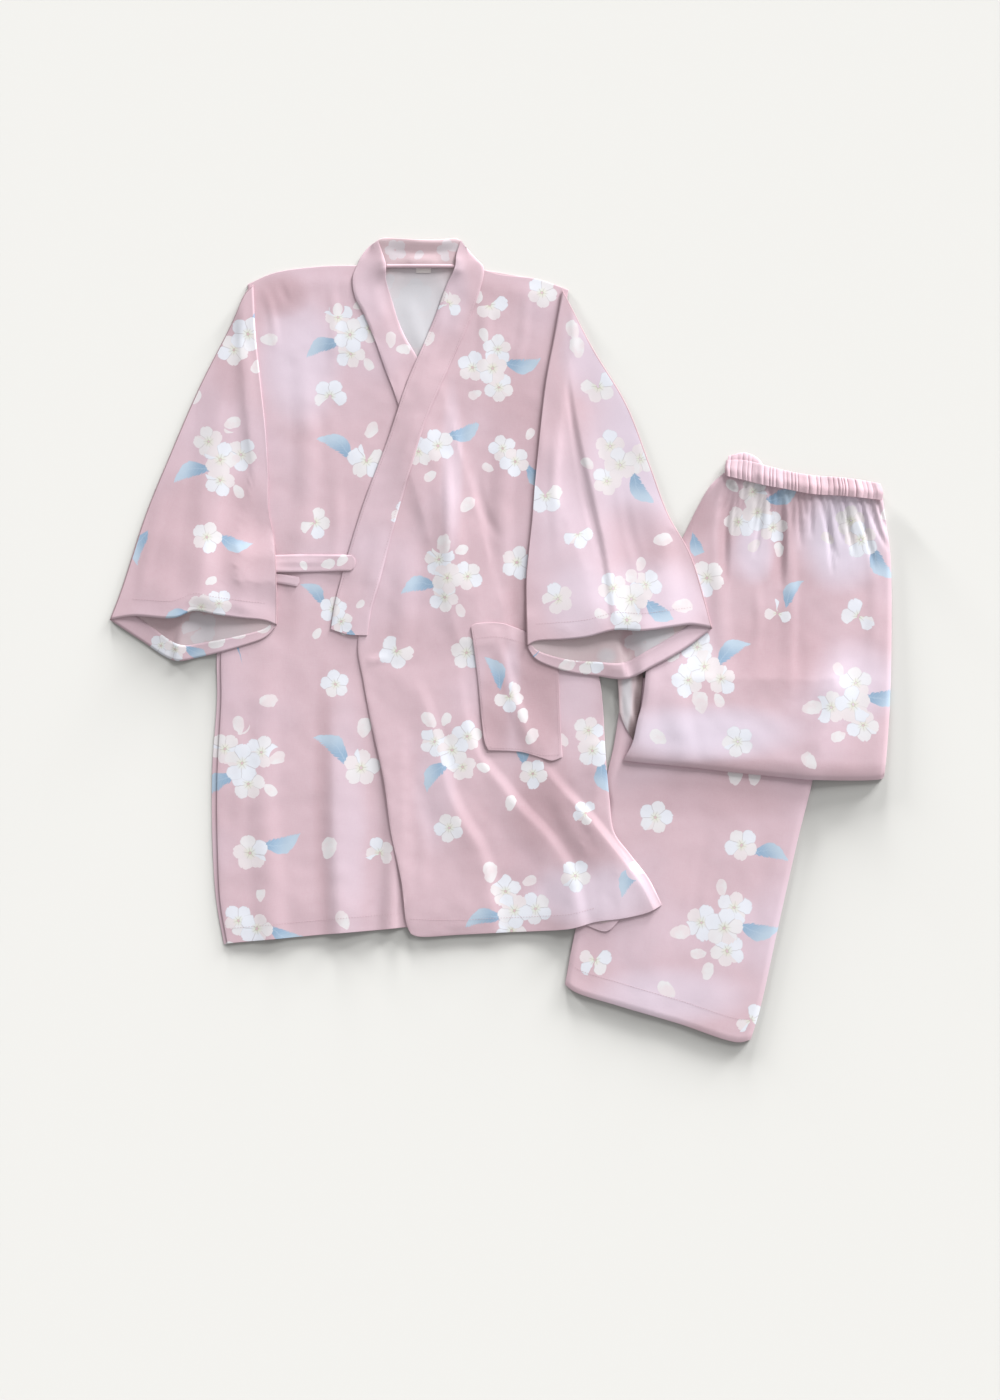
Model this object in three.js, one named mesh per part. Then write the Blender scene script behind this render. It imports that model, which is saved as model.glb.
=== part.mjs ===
import * as THREE from 'three';

// Kimono-cut pajama set laid out flat: a wrap top with open half sleeves, its wearer's left front
// over its right, and trousers folded leg on leg and once across, beside it.
// Millimetres, +Z up, floor at z = 0. Left and right are the wearer's, so left is at +X.

// Driving dimensions
const clothWall = 1.2; // one layer of cloth
const bandWall = 2.2; // collar and waistband, cloth doubled over its seam allowances
const trimWall = 1; // ties and label
const rimGroove = 0.6; // how deep a folded stack's rim goes in between two layers
const rimRound = 0.8; // how far each folded layer's edge stands out
const clearance = 0.3; // between any piece and what it lies on
const seamAllowance = 7; // cloth that runs on under the piece sewn over it
const mapPitch = 4; // raster of the height map that the pieces are laid on
const mapHalf = { x: 500, y: 500 };
const settleSteps = 3; // rounds of settling, which set how far cloth bridges past an edge under it

const table = (columns, ...rows) => {
  const names = columns.split(' ');
  return rows.map((row) => Object.fromEntries(names.map((name, i) => [name, row[i]])));
};
const line = (...rows) => table('x y', ...rows);
const smooth = (t) => {
  const c = THREE.MathUtils.clamp(t, 0, 1);
  return c * c * (3 - 2 * c);
};

// Lines: a soft curve through the rows of a table, and rows moved sideways or run the other way
function curveThrough(rows) {
  const points = rows.map((row) => new THREE.Vector3(row.x, row.y, 0));
  return new THREE.CatmullRomCurve3(points, false, 'centripetal');
}
const moved = (rows, dx, dy = 0) => rows.map((row) => ({ ...row, x: row.x + dx, y: row.y + dy }));
const upFrom = (rows) => rows.map((row) => [row.x, row.y]).reverse();

// Where along a curve that runs from left to right it passes an x
function passing(curve, x) {
  let [low, high] = [0, 1];
  while (high - low > 1e-5) {
    const middle = (low + high) / 2;
    if (curve.getPointAt(middle).x < x) low = middle;
    else high = middle;
  }
  return low;
}

// A panel between its foot and head lines, lofted across lines that run from foot to head: its left
// and right edges, and any ribs between them along its main folds
function panelGrid({ foot, head, left, right, ribs = [] }, across, along) {
  const footLine = curveThrough(foot);
  const headLine = curveThrough(head);
  const inner = ribs.map(({ footX, headX, path }) => {
    const [from, to] = [passing(footLine, footX), passing(headLine, headX)];
    return { from, to, line: curveThrough([footLine.getPointAt(from), ...path, headLine.getPointAt(to)]) };
  });
  const lines = [
    { from: 0, to: 0, line: curveThrough(left) },
    ...inner,
    { from: 1, to: 1, line: curveThrough(right) },
  ];
  const pointAt = (a, b, u, v) => {
    const low = footLine.getPointAt(THREE.MathUtils.lerp(a.from, b.from, u));
    const high = headLine.getPointAt(THREE.MathUtils.lerp(a.to, b.to, u));
    const point = low.multiplyScalar(1 - v).addScaledVector(high, v);
    for (const [{ line: side }, share] of [[a, 1 - u], [b, u]]) {
      point.addScaledVector(side.getPointAt(v), share);
      point.addScaledVector(side.getPointAt(0), -share * (1 - v)).addScaledVector(side.getPointAt(1), -share * v);
    }
    return point;
  };
  const counts = [across].flat();
  const grid = [];
  for (let j = 0; j <= along; j += 1) {
    const row = [lines[0].line.getPointAt(j / along)];
    counts.forEach((count, k) => {
      for (let i = 1; i <= count; i += 1) row.push(pointAt(lines[k], lines[k + 1], i / count, j / along));
    });
    grid.push(row);
  }
  return grid;
}

// Folds: ridges along a line, each with its height at head, middle and foot and its width to each side
function foldField(folds) {
  const lines = folds.map((fold) => ({ ...fold, points: curveThrough(fold.path).getSpacedPoints(30) }));
  return (x, y) => {
    let height = 0;
    for (const fold of lines) {
      let best = { gap: Infinity };
      for (let k = 0; k < fold.points.length - 1; k += 1) {
        const a = fold.points[k];
        const b = fold.points[k + 1];
        const dx = b.x - a.x;
        const dy = b.y - a.y;
        const t = THREE.MathUtils.clamp(((x - a.x) * dx + (y - a.y) * dy) / (dx * dx + dy * dy), 0, 1);
        const gap = Math.hypot(x - a.x - t * dx, y - a.y - t * dy);
        if (gap < best.gap) {
          const side = (x - a.x) * dy - (y - a.y) * dx;
          best = { gap, side, at: (k + t) / (fold.points.length - 1) };
        }
      }
      const width = best.side > 0 ? fold.leftWidth : fold.rightWidth;
      if (best.gap < width) {
        const t = best.at;
        const rise = fold.head * (1 - t) * (1 - 2 * t) + 4 * fold.middle * t * (1 - t) + fold.foot * t * (2 * t - 1);
        height += rise * 0.5 * (1 + Math.cos((Math.PI * best.gap) / width));
      }
    }
    return height;
  };
}
const fold = (head, middle, foot, leftWidth, rightWidth, ...rows) => (
  { head, middle, foot, leftWidth, rightWidth, path: line(...rows) });

// The pile: a height map of the cloth laid so far. Each corner of a new piece rests on the highest
// cloth under the facets round it, so no facet can cut what lies under it.
const mapSize = {
  x: Math.round((2 * mapHalf.x) / mapPitch) + 1,
  y: Math.round((2 * mapHalf.y) / mapPitch) + 1,
};
const pileHeight = new Float32Array(mapSize.x * mapSize.y);

function coverMap(grid) {
  const triangles = [];
  for (let j = 0; j < grid.length - 1; j += 1) {
    for (let i = 0; i < grid[0].length - 1; i += 1) {
      triangles.push([grid[j][i], grid[j][i + 1], grid[j + 1][i + 1]]);
      triangles.push([grid[j][i], grid[j + 1][i + 1], grid[j + 1][i]]);
    }
  }
  for (const [a, b, c] of triangles) {
    const area = (b.x - a.x) * (c.y - a.y) - (b.y - a.y) * (c.x - a.x);
    const cell = (value, half) => (value + half) / mapPitch;
    const firstX = Math.ceil(cell(Math.min(a.x, b.x, c.x), mapHalf.x));
    const lastX = Math.floor(cell(Math.max(a.x, b.x, c.x), mapHalf.x));
    const firstY = Math.ceil(cell(Math.min(a.y, b.y, c.y), mapHalf.y));
    const lastY = Math.floor(cell(Math.max(a.y, b.y, c.y), mapHalf.y));
    for (let m = firstY; m <= lastY; m += 1) {
      for (let n = firstX; n <= lastX; n += 1) {
        const x = n * mapPitch - mapHalf.x;
        const y = m * mapPitch - mapHalf.y;
        const wb = ((x - a.x) * (c.y - a.y) - (y - a.y) * (c.x - a.x)) / area;
        const wc = ((b.x - a.x) * (y - a.y) - (b.y - a.y) * (x - a.x)) / area;
        if (wb >= 0 && wc >= 0 && wb + wc <= 1) {
          const top = a.z + wb * (b.z - a.z) + wc * (c.z - a.z) + clearance;
          pileHeight[m * mapSize.x + n] = Math.max(pileHeight[m * mapSize.x + n], top);
        }
      }
    }
  }
}

// Highest point of the map under the facets that meet at one corner of a grid
function supportUnder(grid, j, i) {
  const low = { x: Infinity, y: Infinity };
  const high = { x: -Infinity, y: -Infinity };
  for (const row of grid.slice(Math.max(j - 1, 0), j + 2)) {
    for (const p of row.slice(Math.max(i - 1, 0), i + 2)) {
      low.x = Math.min(low.x, p.x);
      low.y = Math.min(low.y, p.y);
      high.x = Math.max(high.x, p.x);
      high.y = Math.max(high.y, p.y);
    }
  }
  let support = 0;
  for (let m = Math.floor((low.y + mapHalf.y) / mapPitch); m <= Math.ceil((high.y + mapHalf.y) / mapPitch); m += 1) {
    const last = Math.ceil((high.x + mapHalf.x) / mapPitch);
    for (let n = Math.floor((low.x + mapHalf.x) / mapPitch); n <= last; n += 1) {
      support = Math.max(support, pileHeight[m * mapSize.x + n]);
    }
  }
  return support;
}

// Cloth drawn over its support: each corner settles at the mean of its neighbours, never below the support
function drapedHeights(grid) {
  const support = grid.map((row, j) => row.map((p, i) => supportUnder(grid, j, i)));
  let height = support;
  for (let step = 0; step < settleSteps; step += 1) {
    const before = height;
    height = before.map((row, j) => row.map((z, i) => {
      const near = [row[i - 1], row[i + 1], before[j - 1]?.[i], before[j + 1]?.[i]].filter((v) => v !== undefined);
      return Math.max(support[j][i], near.reduce((sum, v) => sum + v, 0) / near.length);
    }));
  }
  return height;
}

// Solids: vertices and faces of one closed body, turned outwards
function closedSolid(points, faces) {
  let volume = 0;
  for (const [a, b, c] of faces) {
    volume += points[a].dot(points[b].clone().cross(points[c]));
  }
  const index = faces.flatMap(([a, b, c]) => (volume > 0 ? [a, b, c] : [a, c, b]));
  const geometry = new THREE.BufferGeometry();
  geometry.setAttribute('position', new THREE.Float32BufferAttribute(points.flatMap((p) => [p.x, p.y, p.z]), 3));
  geometry.setIndex(index);
  geometry.computeVertexNormals();
  return geometry;
}

const quad = (a, b, c, d) => [[a, b, c], [a, c, d]];

// Two skins joined round their rim; layers > 1 shows that many folded layers in the rim
function slabGeometry(under, upper, layers) {
  const rows = under.length;
  const cols = under[0].length;
  const points = [...upper.flat(), ...under.flat()];
  const top = (j, i) => j * cols + i;
  const bottom = (j, i) => rows * cols + j * cols + i;
  const faces = [];
  for (let j = 0; j < rows - 1; j += 1) {
    for (let i = 0; i < cols - 1; i += 1) {
      faces.push(...quad(top(j, i), top(j, i + 1), top(j + 1, i + 1), top(j + 1, i)));
      faces.push(...quad(bottom(j, i), bottom(j + 1, i), bottom(j + 1, i + 1), bottom(j, i + 1)));
    }
  }
  const rim = [];
  for (let i = 0; i < cols - 1; i += 1) rim.push([0, i]);
  for (let j = 0; j < rows - 1; j += 1) rim.push([j, cols - 1]);
  for (let i = cols - 1; i > 0; i -= 1) rim.push([rows - 1, i]);
  for (let j = rows - 1; j > 0; j -= 1) rim.push([j, 0]);
  const rings = [rim.map(([j, i]) => bottom(j, i))];
  for (let k = 1; k < 2 * layers; k += 1) {
    const inset = k % 2 === 0 ? rimGroove : 0;
    rings.push(rim.map(([j, i], n) => {
      const before = rim[(n + rim.length - 1) % rim.length];
      const after = rim[(n + 1) % rim.length];
      const along = upper[after[0]][after[1]].clone().sub(upper[before[0]][before[1]]);
      const inward = new THREE.Vector3(-along.y, along.x, 0).normalize();
      const out = k % 2 === 0 ? inset : -rimRound;
      points.push(under[j][i].clone().lerp(upper[j][i], k / (2 * layers)).addScaledVector(inward, out));
      return points.length - 1;
    }));
  }
  rings.push(rim.map(([j, i]) => top(j, i)));
  for (let r = 0; r < rings.length - 1; r += 1) {
    for (let n = 0; n < rim.length; n += 1) {
      const m = (n + 1) % rim.length;
      faces.push(...quad(rings[r][n], rings[r][m], rings[r + 1][m], rings[r + 1][n]));
    }
  }
  return closedSolid(points, faces);
}

const group = new THREE.Group();
function addPiece(name, geometry, finish) {
  const mesh = new THREE.Mesh(geometry, finish);
  mesh.name = name;
  group.add(mesh);
}

// Lays one piece: its underside on the pile, raised by its folds, its upper side a wall above
function layPiece(name, finish, edges, options) {
  const { across, along, wall = clothWall, folds = [], layers = 1, thickness = null, lift = null } = options;
  const plan = panelGrid(edges, across, along);
  const rest = drapedHeights(plan);
  const ridge = foldField(folds);
  const under = plan.map((row, j) => row.map((p, i) => {
    const raise = layers > 1 ? 0 : ridge(p.x, p.y);
    return new THREE.Vector3(p.x, p.y, rest[j][i] + raise + (lift ? lift(p.x, p.y) : 0));
  }));
  const upper = under.map((row) => row.map((p) => {
    const rise = thickness ? thickness(p.x, p.y) : wall;
    return new THREE.Vector3(p.x, p.y, p.z + rise + (layers > 1 ? ridge(p.x, p.y) : 0));
  }));
  addPiece(name, slabGeometry(under, upper, layers), finish);
  coverMap(upper);
}

// Lays a sleeve: a flattened tube from armhole to cuff, open at both, its upper hem short of its lower
function laySleeve(name, finish, sleeve) {
  const { shoulderFold, underarm, armhole, upperCuff, lowerCuff, across, along, folds } = sleeve;
  const planTo = (cuff) => panelGrid({ foot: armhole, head: cuff, left: shoulderFold, right: underarm }, across, along);
  const lowerPlan = planTo(lowerCuff);
  const upperPlan = planTo(upperCuff);
  const lowerRest = drapedHeights(lowerPlan);
  coverMap(lowerPlan.map((row, j) => row.map((p, i) => p.clone().setZ(lowerRest[j][i] + clothWall))));
  const upperRest = drapedHeights(upperPlan);
  const ridge = foldField(folds);
  const loops = []; // per station: outer skin and inner skin, each a closed loop of points
  for (let j = 0; j <= along; j += 1) {
    const mouth = smooth((j / along - sleeve.mouthFrom) / (1 - sleeve.mouthFrom));
    const air = (u) => sleeve.airGap + sleeve.mouthRise * mouth * Math.sin(Math.PI * u) ** sleeve.mouthRound;
    const outer = [];
    const inner = [];
    const foldIn = (i, step) => {
      const p = lowerPlan[j][i].clone().setZ(lowerRest[j][i] + clothWall + sleeve.airGap / 2);
      const inward = lowerPlan[j][i + step].clone().sub(lowerPlan[j][i]).normalize();
      outer.push(p);
      inner.push(p.clone().addScaledVector(inward, clothWall));
    };
    foldIn(0, 1);
    for (let i = 1; i < across; i += 1) {
      const p = upperPlan[j][i];
      const z = upperRest[j][i] + air(i / across) + ridge(p.x, p.y);
      inner.push(p.clone().setZ(z));
      outer.push(p.clone().setZ(z + clothWall));
    }
    foldIn(across, -1);
    for (let i = across - 1; i > 0; i -= 1) {
      outer.push(lowerPlan[j][i].clone().setZ(lowerRest[j][i]));
      inner.push(lowerPlan[j][i].clone().setZ(lowerRest[j][i] + clothWall));
    }
    loops.push({ outer, inner });
  }
  const count = loops[0].outer.length;
  const points = loops.flatMap((loop) => [...loop.outer, ...loop.inner]);
  const at = (j, skin, n) => (2 * j + skin) * count + (n % count);
  const faces = [];
  for (let n = 0; n < count; n += 1) {
    for (let j = 0; j < along; j += 1) {
      faces.push(...quad(at(j, 0, n), at(j, 0, n + 1), at(j + 1, 0, n + 1), at(j + 1, 0, n)));
      faces.push(...quad(at(j, 1, n), at(j + 1, 1, n), at(j + 1, 1, n + 1), at(j, 1, n + 1)));
    }
    faces.push(...quad(at(0, 0, n), at(0, 1, n), at(0, 1, n + 1), at(0, 0, n + 1)));
    faces.push(...quad(at(along, 0, n), at(along, 0, n + 1), at(along, 1, n + 1), at(along, 1, n)));
  }
  addPiece(name, closedSolid(points, faces), finish);
  coverMap(loops.map((loop) => loop.outer.slice(0, across + 1)));
}

// Finishes
const finish = (color, roughness) => new THREE.MeshStandardMaterial({ color, roughness, metalness: 0 });
const printedCotton = finish(0xdcc0ca, 0.85);
const printedShade = finish(0xd4b5c0, 0.85);
const wrongSide = finish(0xe6e0e0, 0.9);
const labelTape = finish(0xf6f4f2, 0.8);

// Lines that neighbouring pieces share
const leftArmhole = line([39, 171], [43, 214], [52, 296], [62, 350], [71, 401]);
const rightArmhole = line([-267, 182], [-270, 240], [-275, 290], [-281, 347], [-284, 407]);
const rightBandSeam = line([-40, 4], [-118, 271], [-132, 309], [-143, 340], [-158, 376], [-167, 393], [-170, 415]);
const leftBandSeam = line([-153, 4], [-149, 33], [-139, 68], [-124, 125], [-104, 194], [-85, 254], [-65, 300],
  [-50, 332], [-35, 369], [-24, 401], [-20, 427]);
const waistSeam = line([258, 187], [279, 182], [303, 176], [326, 172], [357, 166], [390, 164], [420, 161], [438, 159]);

// Trousers: the legs lie one on the other, folded across once, the seat on top
const rimLayers = 3; // folded layers that the rims show
const legHeight = 4;
const seatHeight = 4; // from waist to fold
const foldHeight = 6; // where the hidden run of the legs lies between seat and legs
const foldRun = { from: -20, to: -60 }; // where that hidden run ends

layPiece('trouser_legs', printedShade, {
  left: line([75, -397], [87, -335], [107, -262], [125, -191], [122, -167], [131, -123], [137, -85], [143, -45]),
  right: line([287, -459.8], [298, -423], [318, -332], [341, -230], [358, -162], [372, -100], [384, -50]),
  foot: line([75, -397], [86, -405], [136, -421], [204, -441], [273, -462.8], [287, -459.8]),
  head: line([143, -45], [384, -50]),
}, {
  across: 8,
  along: 12,
  layers: rimLayers,
  thickness: () => legHeight,
  folds: [
    fold(0, 1.2, 1, 26, 26, [215, -180], [185, -300], [165, -420]),
    fold(0, 1, 1.2, 30, 30, [300, -180], [268, -300], [240, -440]),
  ],
});

layPiece('trouser_inner_layer', wrongSide, {
  left: line([137, -84], [136, -60], [135, -40], [138, -20]),
  right: line([153, -118], [158, -94], [162, -60], [166, -10]),
  foot: line([137, -84], [142, -98], [153, -118]),
  head: line([138, -20], [166, -10]),
}, { across: 3, along: 8, folds: [fold(0.5, 1.2, 0.5, 9, 9, [149, -100], [148, -60], [152, -15])] });

layPiece('waistband_back', wrongSide, {
  left: line([260, 190], [262, 210]),
  right: line([430, 163], [432, 178]),
  foot: line([260, 190], [303, 180], [357, 170], [430, 163]),
  head: line([262, 210], [281, 213.5], [294, 208], [308, 193], [341, 185], [390, 181], [432, 174]),
}, { across: 20, along: 2, wall: bandWall, folds: [fold(1, 2, 1, 16, 12, [262, 203], [281, 206], [300, 196])] });

const gatherCount = 14;
const gathers = [];
for (let k = 0; k < gatherCount; k += 1) {
  const t = (k + 0.5) / gatherCount;
  const top = curveThrough(waistSeam).getPointAt(t);
  const reach = 46 + 34 * Math.abs(Math.sin(2.3 * k)); // uneven lengths
  const spread = (t - 0.5) * 26;
  gathers.push(fold(0.4, 2.2, 0, 6.5, 6.5, [top.x, top.y], [top.x + spread, top.y - reach]));
}
layPiece('trouser_seat', printedCotton, {
  left: line([142, -139], [152, -120], [158, -94], [163, -75], [168, -34], [174, 22], [189, 68], [209, 113],
    [229, 154], [243, 177], [258, 187 + seamAllowance / 2]),
  right: line([440, -158], [443, -128], [447, -62], [448.5, 44], [447, 97], [441, 141], [438, 159 + seamAllowance / 2]),
  foot: line([142, -139], [170, -142], [221, -147], [264, -152], [333, -159], [356, -161], [438, -160], [440, -158]),
  head: moved(waistSeam, 0, seamAllowance / 2),
}, {
  across: 32,
  along: 12,
  layers: rimLayers,
  thickness: (x, y) => {
    const run = smooth((foldRun.from - y) / (foldRun.from - foldRun.to));
    return seatHeight + (foldHeight - seatHeight) * run;
  },
  folds: [
    ...gathers,
    fold(-1.4, -1.4, -1.4, 26, 26, ...upFrom(moved(waistSeam, 0, seamAllowance / 2))),
    fold(0, 2.2, 0, 16, 10, [330, 140], [334, 40], [330, -70]),
    fold(0, 2, 0, 14, 16, [255, 150], [250, 60], [262, -60]),
    fold(0, 2, 2.5, 22, 22, [400, 60], [385, -60], [350, -155]),
    fold(0, 1.6, 2, 24, 20, [215, 40], [200, -60], [215, -140]),
  ],
});

const bandGathers = 38;
const bandWave = 1.1; // height of each gather of the waistband
layPiece('waistband_front', printedCotton, {
  left: line([258, 187], [257.5, 196], [259, 205]),
  right: line([438.5, 160], [439, 169], [436, 178]),
  foot: waistSeam,
  head: line([259, 205], [279, 205], [311, 197], [341, 190], [362, 187], [390, 185], [420, 181], [436, 178]),
}, {
  across: 2 * bandGathers,
  along: 2,
  wall: bandWall,
  lift: (x) => bandWave * (0.5 + 0.5 * Math.cos((2 * Math.PI * bandGathers * (x - 258)) / 180)),
});

// Top: the back lies on the floor, inside up, the right front on it, and the left front over both
layPiece('back', wrongSide, {
  left: [...line([-318, -351], [-327, -300], [-331, -243], [-332, -185], [-331, -139], [-326, -70], [-325, -1],
    [-300, 95]), ...moved(rightArmhole, -seamAllowance)],
  right: [...line([137, -322], [129, -229], [124, -185], [120, -139], [113, -47], [84, 60]),
    ...moved(leftArmhole, seamAllowance)],
  foot: line([-318, -351], [-258, -344], [-205, -339], [-134, -333], [0, -328], [90, -327], [122, -336], [137, -322]),
  head: line([-284 - seamAllowance, 407], [-259, 420], [-208, 427], [-160, 429], [-132, 428], [-52, 429], [-18, 424],
    [40, 413], [71 + seamAllowance, 401]),
}, { across: 12, along: 16 });

layPiece('neck_label', labelTape, {
  left: line([-97, 421], [-97, 427]),
  right: line([-80, 421], [-80, 427]),
  foot: line([-97, 421], [-80, 421]),
  head: line([-97, 427], [-80, 427]),
}, { across: 2, along: 1, wall: trimWall });

layPiece('collar_back', printedShade, {
  left: line([-132, 427], [-136, 441], [-141, 458]),
  right: line([-52, 427], [-50, 441], [-45, 457]),
  foot: line([-132, 427], [-92, 427], [-52, 427]),
  head: line([-141, 458], [-135, 460], [-119, 460], [-91, 458], [-67, 458], [-52, 459.5], [-45, 457]),
}, { across: 10, along: 3, wall: bandWall, folds: [fold(2, 4, 2, 14, 10, [-138, 460], [-92, 458], [-48, 459])] });

layPiece('front_right', printedCotton, {
  left: [...line([-314, -347], [-322, -300], [-325, -243], [-326, -185], [-325, -139], [-321, -70], [-320, -1],
    [-297, 95]), ...moved(rightArmhole, -seamAllowance + 1)],
  right: [...line([-46, -322], [-40, -150]), ...moved(rightBandSeam, seamAllowance), { x: -158, y: 429 }],
  foot: line([-314, -350], [-258, -345], [-205, -340], [-134, -334], [-100, -330], [-46, -322]),
  head: line([-284 - seamAllowance + 1, 408], [-259, 421], [-208, 428], [-180, 429], [-158, 429]),
}, {
  across: 16,
  along: 20,
  folds: [
    fold(0, 5, 8, 16, 24, [-172, -50], [-174, -190], [-168, -340]),
    fold(0, 3, 3.5, 24, 24, [-268, 10], [-274, -150], [-262, -346]),
    fold(0, 4, 5, 12, 16, [-124, -60], [-122, -190], [-126, -335]),
    fold(0, 3, 0, 20, 20, [-228, 330], [-222, 200], [-235, 60]),
  ],
});

layPiece('collar_right', printedShade, {
  left: [...moved(rightBandSeam, 0), { x: -164, y: 431 }, { x: -158, y: 442 }, { x: -150, y: 451 }],
  right: line([-2, 15], [-81, 292], [-97, 325], [-109, 345], [-117, 363], [-125, 389], [-132, 415], [-132, 429],
    [-135, 440], [-141, 458]),
  foot: line([-40, 4], [-2, 15]),
  head: line([-150, 451], [-141, 458]),
}, { across: 2, along: 16, wall: bandWall });

// The skirt's three main folds, from the hem up; the panel's ribs run along them
const crestFold = line([160, -281], [128, -240], [98, -204], [69, -173], [52, -151], [35, -113], [15, -80], [7, -1]);
const middleFold = line([76, -265], [49, -225], [22, -197], [-1, -168], [-25, -136], [-40, -93], [-47, -59], [-50, 10]);
const frontFold = line([-24, -245], [-47, -206], [-63, -170], [-73, -122], [-88, -76], [-108, -30]);
layPiece('front_left', printedCotton, {
  left: [...line([-103, -339], [-108, -328], [-114, -279], [-126, -222], [-134, -163], [-150, -90], [-158, -46],
    [-164, -9]), ...moved(leftBandSeam, -seamAllowance).slice(1)],
  right: [...line([185, -306], [170, -276], [148, -247], [130, -222], [125, -185], [121, -139], [114, -47], [85, 60]),
    ...moved(leftArmhole, seamAllowance)],
  foot: line([-103, -339], [-95, -342], [-47, -340], [-6, -338], [40, -336], [81, -333], [110, -325], [141, -321],
    [170, -314], [185, -306]),
  head: line([-20 - seamAllowance, 427], [-12, 422], [-1, 419], [40, 414], [57, 409], [71 + seamAllowance, 401]),
  ribs: [
    { footX: -5, headX: -4, path: [...frontFold, ...line([-112, 20], [-104, 80], [-88, 150], [-66, 220], [-42, 280],
      [-20, 340], [-8, 380])] },
    { footX: 92, headX: 18, path: [...middleFold, ...line([-54, 80], [-52, 140], [-45, 210], [-30, 280], [-5, 340],
      [10, 380])] },
    { footX: 175, headX: 42, path: [...crestFold, ...line([1, 60], [-1, 120], [2, 180], [10, 245], [22, 310],
      [36, 370])] },
  ],
}, {
  across: [8, 7, 8, 5],
  along: 26,
  folds: [
    fold(0, 9, 12, 34, 13, [4, 40], ...upFrom(crestFold), [175, -310]),
    fold(0, 7, 5, 26, 17, ...upFrom(middleFold), [92, -330]),
    fold(0, 6, 3, 24, 20, ...upFrom(frontFold), [-5, -335]),
    fold(0, 4, 0, 22, 22, [-66, 217], [-60, 130], [-53, 45]),
    fold(0, 4, 0, 18, 18, [10, 240], [0, 150], [6, 60]),
    fold(0, 3, 0, 20, 20, [-100, 120], [-112, 40], [-116, -30]),
  ],
});

layPiece('collar_left', printedCotton, {
  left: line([-195, 11], [-189, 46], [-175, 98], [-157, 156], [-128, 233], [-108, 293], [-87, 342], [-72, 378],
    [-62, 406], [-52, 429], [-51, 440], [-45.5, 458]),
  right: [...leftBandSeam, { x: -28, y: 436 }, { x: -37, y: 446 }],
  foot: line([-195, 11], [-175, 5], [-153, 4]),
  head: line([-45.5, 458], [-37, 446]),
}, { across: 2, along: 24, wall: bandWall });

layPiece('pocket', printedShade, {
  left: line([-14, -128], [-18, -120], [-22, -91], [-26, -47], [-32, 0], [-34, 14]),
  right: line([71, -136], [69, -102], [67, -47], [65, -6]),
  foot: line([-14, -128], [24, -130], [48, -137], [59, -140], [71, -136]),
  head: line([-34, 14], [-30, 17], [1, 18], [14, 14], [40, 4], [65, -6]),
}, { across: 7, along: 8 });

layPiece('tie_short', printedShade, {
  left: line([-290, 67], [-290, 81]),
  right: line([-234, 60.5], [-231, 66], [-232, 71]),
  foot: line([-290, 67], [-258, 64.5], [-234, 60.5]),
  head: line([-290, 81], [-258, 75], [-232, 71]),
}, { across: 6, along: 2, wall: trimWall });

layPiece('tie_long', printedCotton, {
  left: line([-290, 77], [-290, 95]),
  right: line([-172, 78.5], [-167.5, 83], [-167, 91], [-171, 96]),
  foot: line([-290, 77], [-232, 77], [-172, 78.5]),
  head: line([-290, 95], [-232, 96.5], [-171, 96]),
}, { across: 12, along: 3, wall: trimWall });

laySleeve('sleeve_right', printedCotton, {
  armhole: [...rightArmhole].reverse(),
  shoulderFold: line([-284, 407], [-293, 398], [-309, 363], [-346, 290], [-379, 214], [-408, 143], [-436, 57],
    [-449.3, 22]),
  underarm: line([-267, 182], [-266, 143], [-260, 114], [-257, 60], [-257, 16]),
  upperCuff: line([-449.3, 22], [-423, 26], [-374, 24], [-352, 32], [-327, 28], [-298, 24], [-270, 21], [-257, 16]),
  lowerCuff: line([-449.3, 22], [-413, -2], [-374, -25], [-346, -21], [-296, -8], [-270, 2], [-257, 16]),
  across: 11,
  along: 13,
  airGap: 1,
  mouthFrom: 0.45,
  mouthRise: 10,
  mouthRound: 0.8,
  folds: [
    fold(0, 3, 3, 26, 22, [-318, 250], [-345, 140], [-357, 30]),
    fold(0, 2, 2, 22, 22, [-285, 200], [-300, 120], [-300, 25]),
  ],
});

laySleeve('sleeve_left', printedCotton, {
  armhole: [...leftArmhole].reverse(),
  shoulderFold: line([71, 401], [79, 386], [105, 336], [145, 269], [171, 202], [193, 143], [218, 97], [235, 43],
    [243, 12]),
  underarm: line([39, 171], [36, 136], [32, 100], [29, 66], [30, -8]),
  upperCuff: line([243, 12], [219, 16], [202, 14], [163, 9], [132, 10], [99, 2], [70, -1], [40, -3], [30, -8]),
  lowerCuff: line([243, 12], [211, -12], [175, -32], [145, -46], [112, -43], [87, -40], [61, -33], [40, -23], [30, -8]),
  across: 11,
  along: 13,
  airGap: 1,
  mouthFrom: 0.45,
  mouthRise: 10,
  mouthRound: 0.8,
  folds: [
    fold(0, 2.5, 2.5, 22, 16, [79, 313], [99, 179], [116, 100], [131, 12]),
    fold(0, 2, 2, 22, 22, [160, 200], [185, 110], [198, 14]),
  ],
});

const box = new THREE.Box3().setFromObject(group);
group.position.set(-(box.min.x + box.max.x) / 2, -(box.min.y + box.max.y) / 2, 0);

export default group;
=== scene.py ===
import bpy
import bmesh
import math
import numpy as np
from mathutils import Matrix, Vector, noise


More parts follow.
